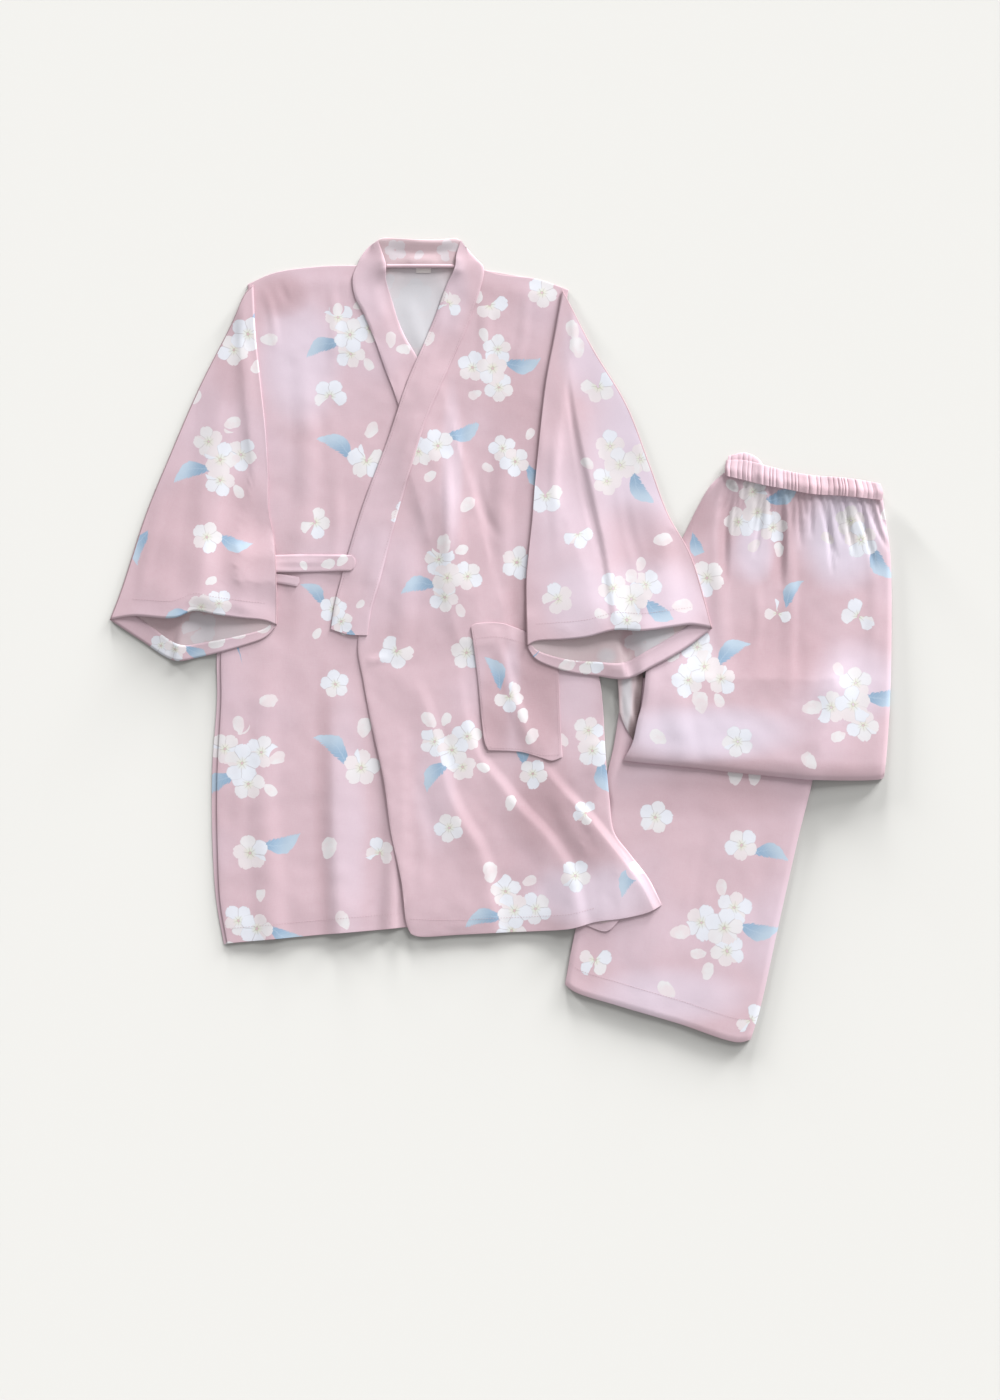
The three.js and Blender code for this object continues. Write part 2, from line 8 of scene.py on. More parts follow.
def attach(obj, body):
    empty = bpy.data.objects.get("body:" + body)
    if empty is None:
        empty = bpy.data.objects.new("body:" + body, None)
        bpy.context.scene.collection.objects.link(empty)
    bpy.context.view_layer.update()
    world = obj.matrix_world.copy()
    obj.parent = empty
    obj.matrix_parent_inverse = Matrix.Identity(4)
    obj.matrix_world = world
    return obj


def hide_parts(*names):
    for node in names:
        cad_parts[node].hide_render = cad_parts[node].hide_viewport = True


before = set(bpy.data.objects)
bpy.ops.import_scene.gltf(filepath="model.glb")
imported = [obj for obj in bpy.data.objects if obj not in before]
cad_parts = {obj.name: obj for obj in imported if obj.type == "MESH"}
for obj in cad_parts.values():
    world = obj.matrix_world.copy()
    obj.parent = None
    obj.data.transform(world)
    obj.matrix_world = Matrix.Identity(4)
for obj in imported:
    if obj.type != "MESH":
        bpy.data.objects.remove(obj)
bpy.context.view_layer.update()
mm = 0.001

# how the set lies: one layer of cloth, the play between layers, and the raster that pieces settle on
layout = {
    "play": 0.3, "shell": 0.7, "relief": 0.45, "pitch": 2.5, "half": (500.0, 500.0), "seamAllowance": 7.0,
    "settle": 30, "finer": 2.5}
# what a piece gets where its own table doesn't say: grid spacing, lift, unevenness and its waves, soft edge
usual = {
    "panel": {
        "spacing": 3.6, "loft": 0.3, "uneven": 0.35, "edge": 0.04, "waves": (46, 17), "folds": [],
        "wall": layout["shell"], "held": "laid"},
    "stack": {"spacing": 3.4, "edge": 0.05, "waves": (52, 19), "rimSteps": 6, "bridge": layout["settle"]},
    "sleeve": {
        "across": 3.6, "along": 3.8, "edge": 0.07, "uneven": 0.6, "wave": 40, "clear": 0.3,
        "foldHeight": 1.2, "paintedEdgeShade": 3, "hemWall": 0.18, "hemGap": 0.15,
        "nearFold": [0.0, 0.0016, 0.0040, 0.009]}}


# lines and panels, all in millimetres
def softCurve(rows, perSpan=24):
    # centripetal spline through the rows, as points with their length along it
    pts = np.array(rows, float)
    ends = [2 * pts[0] - pts[1], 2 * pts[-1] - pts[-2]]
    p = np.vstack([ends[0], pts, ends[1]])
    out = []
    for k in range(1, len(p) - 2):
        p0, p1, p2, p3 = p[k - 1:k + 3]
        t1 = math.sqrt(np.linalg.norm(p1 - p0))
        t2 = t1 + math.sqrt(np.linalg.norm(p2 - p1))
        t3 = t2 + math.sqrt(np.linalg.norm(p3 - p2))
        t = np.linspace(t1, t2, perSpan, endpoint=False)[:, None]
        a1 = (t1 - t) / t1 * p0 + t / t1 * p1
        a2 = (t2 - t) / (t2 - t1) * p1 + (t - t1) / (t2 - t1) * p2
        a3 = (t3 - t) / (t3 - t2) * p2 + (t - t2) / (t3 - t2) * p3
        b1 = (t2 - t) / t2 * a1 + t / t2 * a2
        b2 = (t3 - t) / (t3 - t1) * a2 + (t - t1) / (t3 - t1) * a3
        out.append((t2 - t) / (t2 - t1) * b1 + (t - t1) / (t2 - t1) * b2)
    pts = np.vstack(out + [p[-2][None]])
    length = np.concatenate([[0], np.cumsum(np.linalg.norm(np.diff(pts, axis=0), axis=1))])
    return pts, length / length[-1], length[-1]


def along(curve, t):
    pts, share, _ = curve
    return np.stack([np.interp(t, share, pts[:, 0]), np.interp(t, share, pts[:, 1])], axis=-1)


def moved(rows, dx, dy=0.0):
    return [(x + dx, y + dy) for x, y in rows]


def panelPoints(panel, us, vs):
    # a panel lofted across lines that run from foot to head: its edges and the ribs along its folds
    foot, head = softCurve(panel["foot"]), softCurve(panel["head"])
    lines = [(0.0, 0.0, softCurve(panel["left"]))]
    for rib in panel.get("ribs", []):
        start = np.interp(rib["footX"], foot[0][:, 0], foot[1])
        end = np.interp(rib["headX"], head[0][:, 0], head[1])
        rows = [tuple(along(foot, start))] + rib["path"] + [tuple(along(head, end))]
        lines.append((start, end, softCurve(rows)))
    lines.append((1.0, 1.0, softCurve(panel["right"])))
    shares = np.cumsum([0.0] + [1.0] * (len(lines) - 1)) / (len(lines) - 1)
    widths = panel.get("stripWidths")
    if widths:
        shares = np.cumsum([0.0] + widths) / sum(widths)
    out = np.zeros((len(vs), len(us), 2))
    v = np.asarray(vs)[:, None, None]
    for k in range(len(lines) - 1):
        inside = (us >= shares[k] - 1e-9) & (us <= shares[k + 1] + 1e-9)
        u = ((us[inside] - shares[k]) / (shares[k + 1] - shares[k]))[None, :, None]
        (fa, ha, a), (fb, hb, b) = lines[k], lines[k + 1]
        low = along(foot, fa + (fb - fa) * u[0, :, 0])[None]
        high = along(head, ha + (hb - ha) * u[0, :, 0])[None]
        at, bt = along(a, vs)[:, None], along(b, vs)[:, None]
        a0, a1, b0, b1 = along(a, 0.0), along(a, 1.0), along(b, 0.0), along(b, 1.0)
        out[:, inside] = (low * (1 - v) + high * v + at * (1 - u) + bt * u
                          - (a0 * (1 - u) * (1 - v) + b0 * u * (1 - v) + a1 * (1 - u) * v + b1 * u * v))
    return out


def foldHeights(points, folds):
    # ridges and creases: height at head, middle and foot, width to the left and to the right of the line
    flat = points.reshape(-1, 2)
    total = np.zeros(len(flat))
    for f in folds:
        line = softCurve(f["path"], 8)[0]
        a, d = line[:-1], np.diff(line, axis=0)
        size = (d ** 2).sum(axis=1)
        rel = flat[:, None] - a[None]
        t = np.clip((rel * d).sum(axis=2) / size, 0, 1)
        gap = np.linalg.norm(rel - t[..., None] * d, axis=2)
        best = gap.argmin(axis=1)
        row = np.arange(len(flat))
        side = rel[row, best, 0] * d[best, 1] - rel[row, best, 1] * d[best, 0]
        at = (best + t[row, best]) / len(a)
        width = np.where(side > 0, f["leftWidth"], f["rightWidth"])
        rise = (f["head"] * (1 - at) * (1 - 2 * at) + 4 * f["middle"] * at * (1 - at)
                + f["foot"] * at * (2 * at - 1))
        near = np.clip(gap[row, best] / width, 0, 1)
        soft = 0.5 + 0.5 * np.cos(np.pi * near)
        crisp = ((1.005 - np.sqrt(near * near + 0.01)) / 0.905).clip(0) ** 1.25
        total += layout["relief"] * rise * (soft * (1 - f["crisp"]) + crisp * f["crisp"])
    return total.reshape(points.shape[:-1])


def fold(head, middle, foot, leftWidth, rightWidth, path, crisp=0.0):
    return {"head": head, "middle": middle, "foot": foot, "leftWidth": leftWidth, "rightWidth": rightWidth,
            "path": path, "crisp": crisp}


def softNoise(points, size, seed):
    flat = points.reshape(-1, 2) / size
    values = [noise.noise(Vector((x, y, seed))) for x, y in flat]
    return np.array(values).reshape(points.shape[:-1])


def ripples(points, waves, seed, fineSeed=3.3):
    # broad waves, with finer ones at half their height
    return softNoise(points, waves[0], seed) + 0.5 * softNoise(points, waves[1], fineSeed)


# the pile: a height map of the cloth laid so far, which each new piece settles on
mapCount = [int(2 * h / layout["pitch"]) + 1 for h in layout["half"]]
pile = np.zeros((mapCount[1], mapCount[0]))


def mapPlace(points):
    x = (points[..., 0] + layout["half"][0]) / layout["pitch"]
    y = (points[..., 1] + layout["half"][1]) / layout["pitch"]
    return x, y


def cover(points, heights):
    # the piece's upper side, sampled more finely than the map, raises the map
    rows, cols = heights.shape
    jj = np.linspace(0, rows - 1, int(rows * layout["finer"]))
    ii = np.linspace(0, cols - 1, int(cols * layout["finer"]))
    j0 = np.minimum(jj.astype(int), rows - 2)
    i0 = np.minimum(ii.astype(int), cols - 2)
    fj, fi = (jj - j0)[:, None], (ii - i0)[None]

    def finer(grid):
        return (grid[j0][:, i0] * (1 - fj) * (1 - fi) + grid[j0][:, i0 + 1] * (1 - fj) * fi
                + grid[j0 + 1][:, i0] * fj * (1 - fi) + grid[j0 + 1][:, i0 + 1] * fj * fi)

    x = (finer(points[..., 0]) + layout["half"][0]) / layout["pitch"]
    y = (finer(points[..., 1]) + layout["half"][1]) / layout["pitch"]
    z = finer(heights) + layout["play"]
    np.maximum.at(pile, (np.rint(y).astype(int), np.rint(x).astype(int)), z)


def widened(grid, radius):
    out = grid.copy()
    for axis in (0, 1):
        base = out.copy()
        for shift in range(1, radius + 1):
            out = np.maximum(out, np.roll(base, shift, axis))
            out = np.maximum(out, np.roll(base, -shift, axis))
    return out


def settled(points, rounds=layout["settle"]):
    # cloth drawn over what lies under it: each corner at its neighbours' mean, never below its support
    step = max(np.linalg.norm(np.diff(points, axis=0), axis=2).max(),
               np.linalg.norm(np.diff(points, axis=1), axis=2).max())
    high = widened(pile, int(math.ceil(0.5 * step / layout["pitch"])) + 1)
    x, y = mapPlace(points)
    support = high[np.rint(y).astype(int), np.rint(x).astype(int)]
    z = support.copy()
    for _ in range(rounds):
        padded = np.pad(z, 1, mode="edge")
        mean = (padded[2:, 1:-1] + padded[:-2, 1:-1] + padded[1:-1, 2:] + padded[1:-1, :-2]) / 4
        z = np.maximum(support, mean)
    return z, support


def edgeShare(shape, margin):
    # 0 at the edges of a grid, 1 further in than the margin, as a share of the grid
    v = np.linspace(0, 1, shape[0])[:, None]
    u = np.linspace(0, 1, shape[1])[None]
    near = np.minimum(np.minimum(u, 1 - u), np.minimum(v, 1 - v))
    t = np.clip(near / margin, 0, 1)
    return t * t * (3 - 2 * t)


# shader maths: a socket that can be added, multiplied and compared
class Val:
    def __init__(self, graph, socket):
        self.graph, self.socket = graph, socket

    def math(self, operation, *others):
        return self.graph.node("ShaderNodeMath", {"operation": operation}, self, *others)

    def reflected(self, operation, number):
        return self.graph.node("ShaderNodeMath", {"operation": operation}, number, self)

    def __add__(self, other):
        return self.math("ADD", other)

    def __radd__(self, other):
        return self.reflected("ADD", other)

    def __sub__(self, other):
        return self.math("SUBTRACT", other)

    def __rsub__(self, other):
        return self.reflected("SUBTRACT", other)

    def __mul__(self, other):
        return self.math("MULTIPLY", other)

    def __rmul__(self, other):
        return self.reflected("MULTIPLY", other)

    def __truediv__(self, other):
        return self.math("DIVIDE", other)

    def __gt__(self, other):
        return self.math("GREATER_THAN", other)

    def __lt__(self, other):
        return self.math("LESS_THAN", other)


class Graph:
    def __init__(self, name):
        self.material = bpy.data.materials.new(name)
        self.material.use_nodes = True
        self.tree = self.material.node_tree
        self.tree.nodes.clear()

    def put(self, socket, value):
        if isinstance(value, Val):
            self.tree.links.new(value.socket, socket)
        else:
            socket.default_value = value

    def node(self, kind, settings, *inputs, out=0, **named):
        # its sockets are given in order, where None passes one over, or by name
        made = self.tree.nodes.new(kind)
        for key, value in settings.items():
            setattr(made, key, value)
        for socket, value in zip(made.inputs, inputs):
            if value is not None:
                self.put(socket, value)
        for key, value in named.items():
            self.put(made.inputs[key.replace("_", " ")], value)
        return Val(self, made.outputs[out]) if len(made.outputs) else None

    def mix(self, share, a, b):
        return self.node("ShaderNodeMix", {"data_type": "RGBA"}, share, *[None] * 5, a, b, out=2)

    def mixVector(self, share, a, b):
        return self.node("ShaderNodeMix", {"data_type": "VECTOR"}, share, *[None] * 3, a, b, out=1)

    def step(self, value, low, high):
        # rises softly from 0 at low to 1 at high, whichever of the two is the larger
        smooth = {"interpolation_type": "SMOOTHSTEP"}
        return self.node("ShaderNodeMapRange", smooth, value, low, high, 0.0, 1.0)

    def split(self, vector):
        made = self.node("ShaderNodeSeparateXYZ", {}, vector).socket.node
        return [Val(self, socket) for socket in made.outputs]


# printed and plain cloth, colours in linear light
cloth = {
    # glow is a painted highlight for the paler stretches; deep darkens the ground at random and is also the
    # painted shade of the deeper stretches
    "pink": (0.695, 0.496, 0.556, 1), "lilac": (0.735, 0.568, 0.655, 1), "deep": (0.560, 0.368, 0.412, 1),
    "glow": (0.825, 0.750, 0.885, 1), "petal": (0.840, 0.822, 0.838, 1),
    "petalTip": (0.820, 0.680, 0.712, 1), "petalCool": (0.810, 0.860, 0.960, 1),
    "line": (0.400, 0.350, 0.360, 1), "heart": (0.520, 0.540, 0.330, 1),
    "heartGlow": (0.760, 0.790, 0.620, 1), "leaf": (0.320, 0.455, 0.615, 1),
    "leafPale": (0.540, 0.650, 0.770, 1), "wrong": (0.715, 0.575, 0.600, 1),
    # wrongPatch is the print seen through and also the wrong side's painted highlight; the colour after it
    # is painted shade for edges and rims
    "wrongPatch": (0.700, 0.698, 0.740, 1), "paintedEdgeShade": (0.455, 0.300, 0.336, 1),
    # gap is a painted shadow for the narrow gap between the trouser layers
    "gap": (0.190, 0.125, 0.130, 1), "label": (0.930, 0.860, 0.850, 1), "thread": (0.560, 0.390, 0.430, 1)}
threads = {
    "pitch": 0.9, "slubLong": 0.25, "slubAcross": 3.0, "slubScale": 0.5, "bump": 0.35,
    "bumpDepth": 0.00012, "roughness": 0.86, "sheen": 0.05, "sheenRoughness": 0.45, "specular": 0.12}
# shares of a petal's reach or of a blossom's size
bloom = {
    "petals": 5, "reach": 0.87, "uneven": 0.20, "middle": 0.54, "long": 0.48, "wide": 0.45, "notch": 0.93,
    "notchLean": 0.9, "seamWide": 0.65, "seamFrom": 0.15, "seamFull": 0.3, "tipFrom": 0.50, "rim": 0.8,
    "heart": 0.14, "heartFull": 0.06, "glow": 0.42, "glowFull": 0.10, "rayFull": 0.22}
petalInks = [  # what is printed on a petal, in turn: its mask, strength and colour
    ("tip", 0.16, "petalTip"), ("cool", 0.65, "petalCool"), ("warm", 0.35, "petalTip"),
    ("rim", 0.42, "line"), ("glow", 0.55, "heartGlow"), ("ray", 0.42, "line"), ("heart", 0.75, "heart")]
# how strongly the other things show, from 0 to 1
inks = {
    "clouds": 0.6, "uneven": 0.10, "wrongUneven": 0.12, "slubs": 0.16, "through": 0.55, "veins": 0.55,
    "looseTip": 0.5, "loose": 0.92, "petal": 0.96}
unevenness = {"broad": (0.0075, 1.5), "fine": (0.05, 3.0)}  # scale and detail
wobble = {"scale": 0.16, "across": 3.4, "along": -2.6}
lostPetal = 0.14  # share of the petals that a single blossom has lost
leafForm = {
    "lean": (0.86, 0.5), "place": (33.0, 10.0), "half": 24.0, "wide": 9.4, "taper": 0.12, "rib": 0.27,
    "bow": (0.015, 0.0004, 4.0)}
petalForm = {"half": 8.6, "wide": 5.6, "taper": 0.13}
loosePetals = [(33.0, -26.0, 0.8, -0.6), (-2.0, 38.0, 0.6, 0.8)]  # x, y, cosine and sine of its turn
blossoms = [(0.0, 0.0, 20.5, 0.3, 0.5), (20.0, 14.0, 19.0, 1.1, 2.5), (-20.0, 14.0, 18.5, 0.8, 3.5),
            (9.0, -22.0, 18.5, 2.0, 3.5)]  # x, y, size, turn, and the kinds above which it shows
sprays = {  # how far each kind of motif reaches, and what it holds
    "leaf": (-1, 44.0), "petal": (0, 15.0), "blossom": (1, 27.0), "leafed": (2, 44.0), "pair": (3, 50.0),
    "spray": (4, 62.0),
}


def petalRing(g, x, y, size, turn, shade):
    # notched petals of uneven reach round a heart: where they lie, their shade and the lines on them
    r = (x * x + y * y).math("SQRT")
    angle = y.math("ARCTAN2", x) + turn
    sector = 2 * math.pi / bloom["petals"]
    part = angle * (1 / sector) + 10.0
    phase = (part.math("FRACT") - 0.5) * sector
    which = g.node("ShaderNodeTexWhiteNoise", {"noise_dimensions": "1D"}, W=part.math("FLOOR") + shade)
    reach = which * (bloom["uneven"] * size) + bloom["reach"] * size
    px, py = r * phase.math("COSINE") / reach, (r * phase.math("SINE")).math("ABSOLUTE") / reach
    ex, ey = (px - bloom["middle"]) / bloom["long"], py / bloom["wide"]
    body = (ex * ex + ey * ey).math("SQRT")
    notch = g.step(px - bloom["notch"] - py * bloom["notchLean"], 0.0, 0.05)
    mask = (1 - g.step(body, 0.95, 1.02)) * (1 - notch)
    seam = g.step((sector / 2 - phase.math("ABSOLUTE")) * r, bloom["seamWide"], 0.25)
    seam = seam * g.step(r, bloom["seamFrom"] * size, bloom["seamFull"] * size)
    rim = g.step(body, 0.90, 0.99) * g.step(which, 0.35, 0.65)
    ray = g.step(py, 0.035, 0.0) * g.step(r, bloom["glow"] * size, bloom["rayFull"] * size)
    return {"mask": mask, "tip": g.step(r, bloom["tipFrom"] * size, size), "which": which,
            "cool": g.step(which, 0.45, 0.70), "warm": g.step(which, 0.45, 0.25),
            "rim": mask * (rim * bloom["rim"]).math("MAXIMUM", seam * g.step(which, 0.2, 0.5)),
            "heart": g.step(r, bloom["heart"] * size, bloom["heartFull"] * size),
            "glow": g.step(r, bloom["glow"] * size, bloom["glowFull"] * size), "ray": ray}


def printOf(g, motifs, point):
    # the motif nearest to the point, then what it holds, drawn in its own frame
    x, y, _ = g.split(point)
    best, centre, pose = None, None, None
    for kind, cx, cy, turn, size in motifs:
        number, reach = sprays[kind]
        dx, dy = x - cx, y - cy
        gap = (dx * dx + dy * dy) * (1.0 / (reach * size) ** 2)
        place = (cx, cy, float(number))
        flip = -1.0 if turn < 0 else 1.0
        angle = math.radians(abs(turn))
        frameOf = (math.cos(angle) / size, math.sin(angle) / size, flip)
        if best is None:
            best, centre, pose = gap, place, frameOf
        else:
            nearer = gap < best
            best = best.math("MINIMUM", gap)
            centre = g.mixVector(nearer, centre, place)
            pose = g.mixVector(nearer, pose, frameOf)
    cx, cy, kind = g.split(centre)
    ca, sa, flip = g.split(pose)
    dx, dy = x - cx, y - cy
    qx = (dx * ca + dy * sa) * flip
    qy = dy * ca - dx * sa
    seed = cx * 0.37 + cy * 0.11
    shake = g.node("ShaderNodeTexNoise", {}, Vector=point, Scale=wobble["scale"], Detail=1.0) - 0.5
    qx = qx + shake * wobble["across"]
    qy = qy + shake * wobble["along"]
    layers = []
    for k, (bx, by, size, turn, least) in enumerate(blossoms):
        ring = petalRing(g, qx - bx, qy - by, size, turn + 0.7 * k, seed + 7.0 * k)
        ring["shown"] = ring["mask"] * (kind > least)
        if k == 0:  # a single blossom may have lost a petal
            ring["shown"] = ring["shown"] * (1 - (ring["which"] < lostPetal) * (kind < 2.5))
        layers.append(ring)
    # leaf: a bent blade with veins
    (c, d), (leafX, leafY), (bow, twist, drop) = leafForm["lean"], leafForm["place"], leafForm["bow"]
    lx, ly = qx * c + qy * d + leafX, qy * c - qx * d + leafY
    bend = ly + lx * lx * bow - lx * lx * lx * twist - drop
    veins = ((lx + bend.math("ABSOLUTE") * 0.9) * leafForm["rib"]).math("FRACT")
    ends = 1 - (lx / leafForm["half"]) * (lx / leafForm["half"])
    scallop = g.step(veins, 0.5, 1.0) * (bend < 0.0) * 1.5
    half = ends * (leafForm["wide"] - lx * leafForm["taper"]) - scallop
    leafMask = g.step(half - bend.math("ABSOLUTE"), 0.0, 1.2) * (kind > 1.5).math("MAXIMUM", kind < -0.5)
    vein = g.step(veins, 0.82, 0.95) * 0.5 + g.step(bend.math("ABSOLUTE"), 0.9, 0.2) * 0.6
    # loose petals beside the sprays, and alone
    alone, loose = (kind < 0.5) * (kind > -0.5), kind > 2.5
    fallen = petalShape(g, qx, qy) * alone
    for px, py, c, d in loosePetals:
        ax, ay = qx - px, qy - py
        fallen = fallen + petalShape(g, ax * c + ay * d, ay * c - ax * d) * loose
    vein = vein.math("MINIMUM", 1.0)
    return {"layers": layers, "leaf": leafMask, "vein": vein, "loose": fallen, "along": qx}


def petalShape(g, x, y):
    # one fallen petal, narrow at its foot
    width = petalForm["wide"] + x * petalForm["taper"]
    e = (x / petalForm["half"]) * (x / petalForm["half"]) + (y / width) * (y / width)
    return 1 - g.step(e, 0.86, 1.08)


def weave(g, grain, point):
    # fine plain weave and its slubs, turned to the grain
    turned = g.node("ShaderNodeMapping", {}, Vector=point, Rotation=(0, 0, math.radians(grain)))
    x, y, _ = g.split(turned)
    warp, weft = [(way * (2 * math.pi / threads["pitch"])).math("SINE") for way in (x, y)]
    slubs = []
    thin, thick = threads["slubLong"], threads["slubAcross"]
    for stretch in ((thin, thick, 1.0), (thick, thin, 1.0)):
        place = g.node("ShaderNodeMapping", {}, Vector=turned, Scale=stretch)
        slubs.append(g.node("ShaderNodeTexNoise", {}, Vector=place, Scale=threads["slubScale"], Detail=2.0))
    return warp * weft, slubs[0] + slubs[1]


def clothMaterial(name, motifs, grain=0.0, tints=(), wrongSide=False, deep="deep"):
    g = Graph(name)
    coord = g.node("ShaderNodeTexCoord", {}, out=3)
    point = g.node("ShaderNodeVectorMath", {"operation": "MULTIPLY"}, coord, (1000.0, 1000.0, 1000.0))
    crossings, slubs = weave(g, grain, point)
    broad, uneven = [g.node("ShaderNodeTexNoise", {}, Vector=point, Scale=scale, Detail=detail)
                     for scale, detail in (unevenness["broad"], unevenness["fine"])]
    if wrongSide:
        ground = g.mix(g.step(uneven, 0.35, 0.7) * inks["wrongUneven"], cloth["wrong"], cloth["pink"])
    else:
        ground = g.mix(g.step(broad, 0.45, 0.70) * inks["clouds"], cloth["pink"], cloth["lilac"])
        ground = g.mix(g.step(uneven, 0.50, 0.75) * inks["uneven"], ground, cloth["deep"])
    # the stretches: a painted highlight where strength is above 0, painted shade where it is below
    pale = cloth["wrongPatch"] if wrongSide else cloth["glow"]
    x, y, _ = g.split(point)
    for px, py, wide, tall, strength in tints:
        dx, dy = (x - px) / wide, (y - py) / tall
        near = g.step(dx * dx + dy * dy, 1.0, 0.0) * abs(strength)
        ground = g.mix(near, ground, pale if strength > 0 else cloth[deep])
    color = g.mix((slubs - 0.6) * inks["slubs"], ground, cloth["petal"])
    if motifs:
        art = printOf(g, motifs, point)
        if wrongSide:
            shown = art["leaf"] + art["loose"]
            for ring in art["layers"]:
                shown = shown + ring["shown"]
            color = g.mix(shown.math("MINIMUM", 1.0) * inks["through"], color, cloth["wrongPatch"])
        else:
            leafTone = g.mix(g.step(art["along"], -38.0, -14.0), cloth["leafPale"], cloth["leaf"])
            leafTone = g.mix(art["vein"] * inks["veins"], leafTone, cloth["leafPale"])
            color = g.mix(art["leaf"], color, leafTone)
            looseTip = g.step(uneven, 0.4, 0.6) * inks["looseTip"]
            looseTone = g.mix(looseTip, cloth["petal"], cloth["petalTip"])
            color = g.mix(art["loose"] * inks["loose"], color, looseTone)
            for ring in reversed(art["layers"]):
                petal = cloth["petal"]
                for mask, strength, ink in petalInks:
                    petal = g.mix(ring[mask] * strength, petal, cloth[ink])
                color = g.mix(ring["shown"] * inks["petal"], color, petal)
    bump = g.node("ShaderNodeBump", {}, Strength=threads["bump"], Distance=threads["bumpDepth"],
                  Height=crossings * 0.5 + slubs * 0.8)
    surface = g.node("ShaderNodeBsdfPrincipled", {}, Base_Color=color, Normal=bump,
                     Roughness=threads["roughness"] - slubs * 0.04)
    shader = surface.socket.node
    shader.inputs["Sheen Weight"].default_value = threads["sheen"]
    shader.inputs["Sheen Roughness"].default_value = threads["sheenRoughness"]
    shader.inputs["Specular IOR Level"].default_value = threads["specular"]
    g.node("ShaderNodeOutputMaterial", {}, surface)
    return g.material


def waveMaterial(name, ground, stripe, bands, scale, strength, share, roughness):
    # plain tape or thread: fine ribs in two near colours
    g = Graph(name)
    coord = g.node("ShaderNodeTexCoord", {}, out=3)
    ribs = g.node("ShaderNodeTexWave", {"bands_direction": bands}, Vector=coord, Scale=scale)
    bump = g.node("ShaderNodeBump", {}, Strength=strength, Distance=0.0001, Height=ribs)
    color = g.mix(ribs * share, cloth[ground], cloth[stripe])
    surface = g.node("ShaderNodeBsdfPrincipled", {}, Base_Color=color, Roughness=roughness, Normal=bump)
    g.node("ShaderNodeOutputMaterial", {}, surface)
    return g.material


# making the pieces
def gridInto(bm, points, heights, slot=0):
    # a flat grid, its corners moved to the panel's points; its faces look up
    rows, cols = heights.shape
    start, firstFace = len(bm.verts), len(bm.faces)
    bmesh.ops.create_grid(bm, x_segments=cols - 1, y_segments=rows - 1, size=1.0)
    bm.verts.ensure_lookup_table()
    bm.faces.ensure_lookup_table()
    places = np.dstack([points[..., 0], points[..., 1], heights]).reshape(-1, 3) * mm
    for k, place in enumerate(places):
        bm.verts[start + k].co = place
    faces = bm.faces[firstFace:]
    for face in faces:
        face.material_index = slot
        face.smooth = True
    a, b, c = points[0, 0], points[0, -1], points[-1, 0]
    if (b[0] - a[0]) * (c[1] - a[1]) - (b[1] - a[1]) * (c[0] - a[0]) < 0:
        bmesh.ops.reverse_faces(bm, faces=faces)
    return start


def objectOf(name, bm, materials):
    mesh = bpy.data.meshes.new(name)
    bm.to_mesh(mesh)
    bm.free()
    piece = bpy.data.objects.new(name, mesh)
    bpy.context.scene.collection.objects.link(piece)
    for material in materials:
        mesh.materials.append(material)
    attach(piece, "root")
    return piece


def shelled(piece, thickness, offset):
    solid = piece.modifiers.new("wall", "SOLIDIFY")
    solid.thickness = thickness * mm
    solid.offset = offset
    solid.material_offset = 1
    solid.material_offset_rim = 2
    return piece


def spread(count, length):
    # even steps with one close to each end, so that shading stays flat right up to the edge
    even = np.linspace(0, 1, count - 2)
    near = min(0.45 / length, 0.2 / count)
    return np.concatenate([[0.0, near], even[1:-1], [1 - near, 1.0]])


def evenSteps(form):
    # how many steps across and along keep the grid near its spacing
    foot, left = softCurve(form["foot"]), softCurve(form["left"])
    head, right = softCurve(form["head"]), softCurve(form["right"])
    across = max(foot[2], head[2]) / form.get("spacingAcross", form["spacing"])
    lengthwise = max(left[2], right[2]) / form.get("spacingAlong", form["spacing"])
    return max(3, round(across)), max(3, round(lengthwise))


def panelArea(points):
    a, b = points[:-1, :-1], points[1:, 1:]
    c, d = points[1:, :-1], points[:-1, 1:]
    p, q = b - a, d - c
    return float(np.abs(p[..., 0] * q[..., 1] - p[..., 1] * q[..., 0]).sum() / 2) * mm * mm


def declared(cut, area):
    width, length = cut[0] * mm, cut[1] * mm
    min(max(area, 0.31 * width * length), width * length)


def layPanel(name, node, panel, front, behind):
    # one layer of cloth: settled on the pile, raised by its folds, and given its thickness
    form = usual["panel"] | panel
    across, lengthwise = evenSteps(form)
    us = spread(across + 1, softCurve(form["foot"])[2])
    vs = spread(lengthwise + 1, softCurve(form["left"])[2])
    points = panelPoints(form, us, vs)
    rest, support = settled(points)
    inner = edgeShare(rest.shape, form["edge"])
    z = rest + form["loft"] * inner
    z += foldHeights(points, form["folds"])
    z += form["uneven"] * inner * ripples(points, form["waves"], len(name))
    if "lift" in form:
        z += form["lift"](points, us, vs)
    z = np.maximum(z, support)
    bm = bmesh.new()
    gridInto(bm, points, z)
    if "turned" in form:  # how many faces of the right side show along each side edge and the foot
        bm.faces.ensure_lookup_table()
        for k, face in enumerate(bm.faces):
            j, i = divmod(k, across)
            if min(i, across - 1 - i) < form["turned"] or j < form["turned"]:
                face.material_index = 1
    # rims take the edge material, a painted shade
    slots = [front, behind, behind if "turned" in form else finishes["edge"], finishes["edge"]]
    piece = shelled(objectOf(name, bm, slots), form["wall"], 1.0)
    top = z + form["wall"]
    cover(points, top)
    if node:
        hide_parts(node)
    if "cut" in form:
        declared(form["cut"], panelArea(points))
    panel["laid"] = (points, top)
    print(f"{name}: {across} by {lengthwise}, {z.min():.1f} to {z.max():.1f} mm")
    return piece


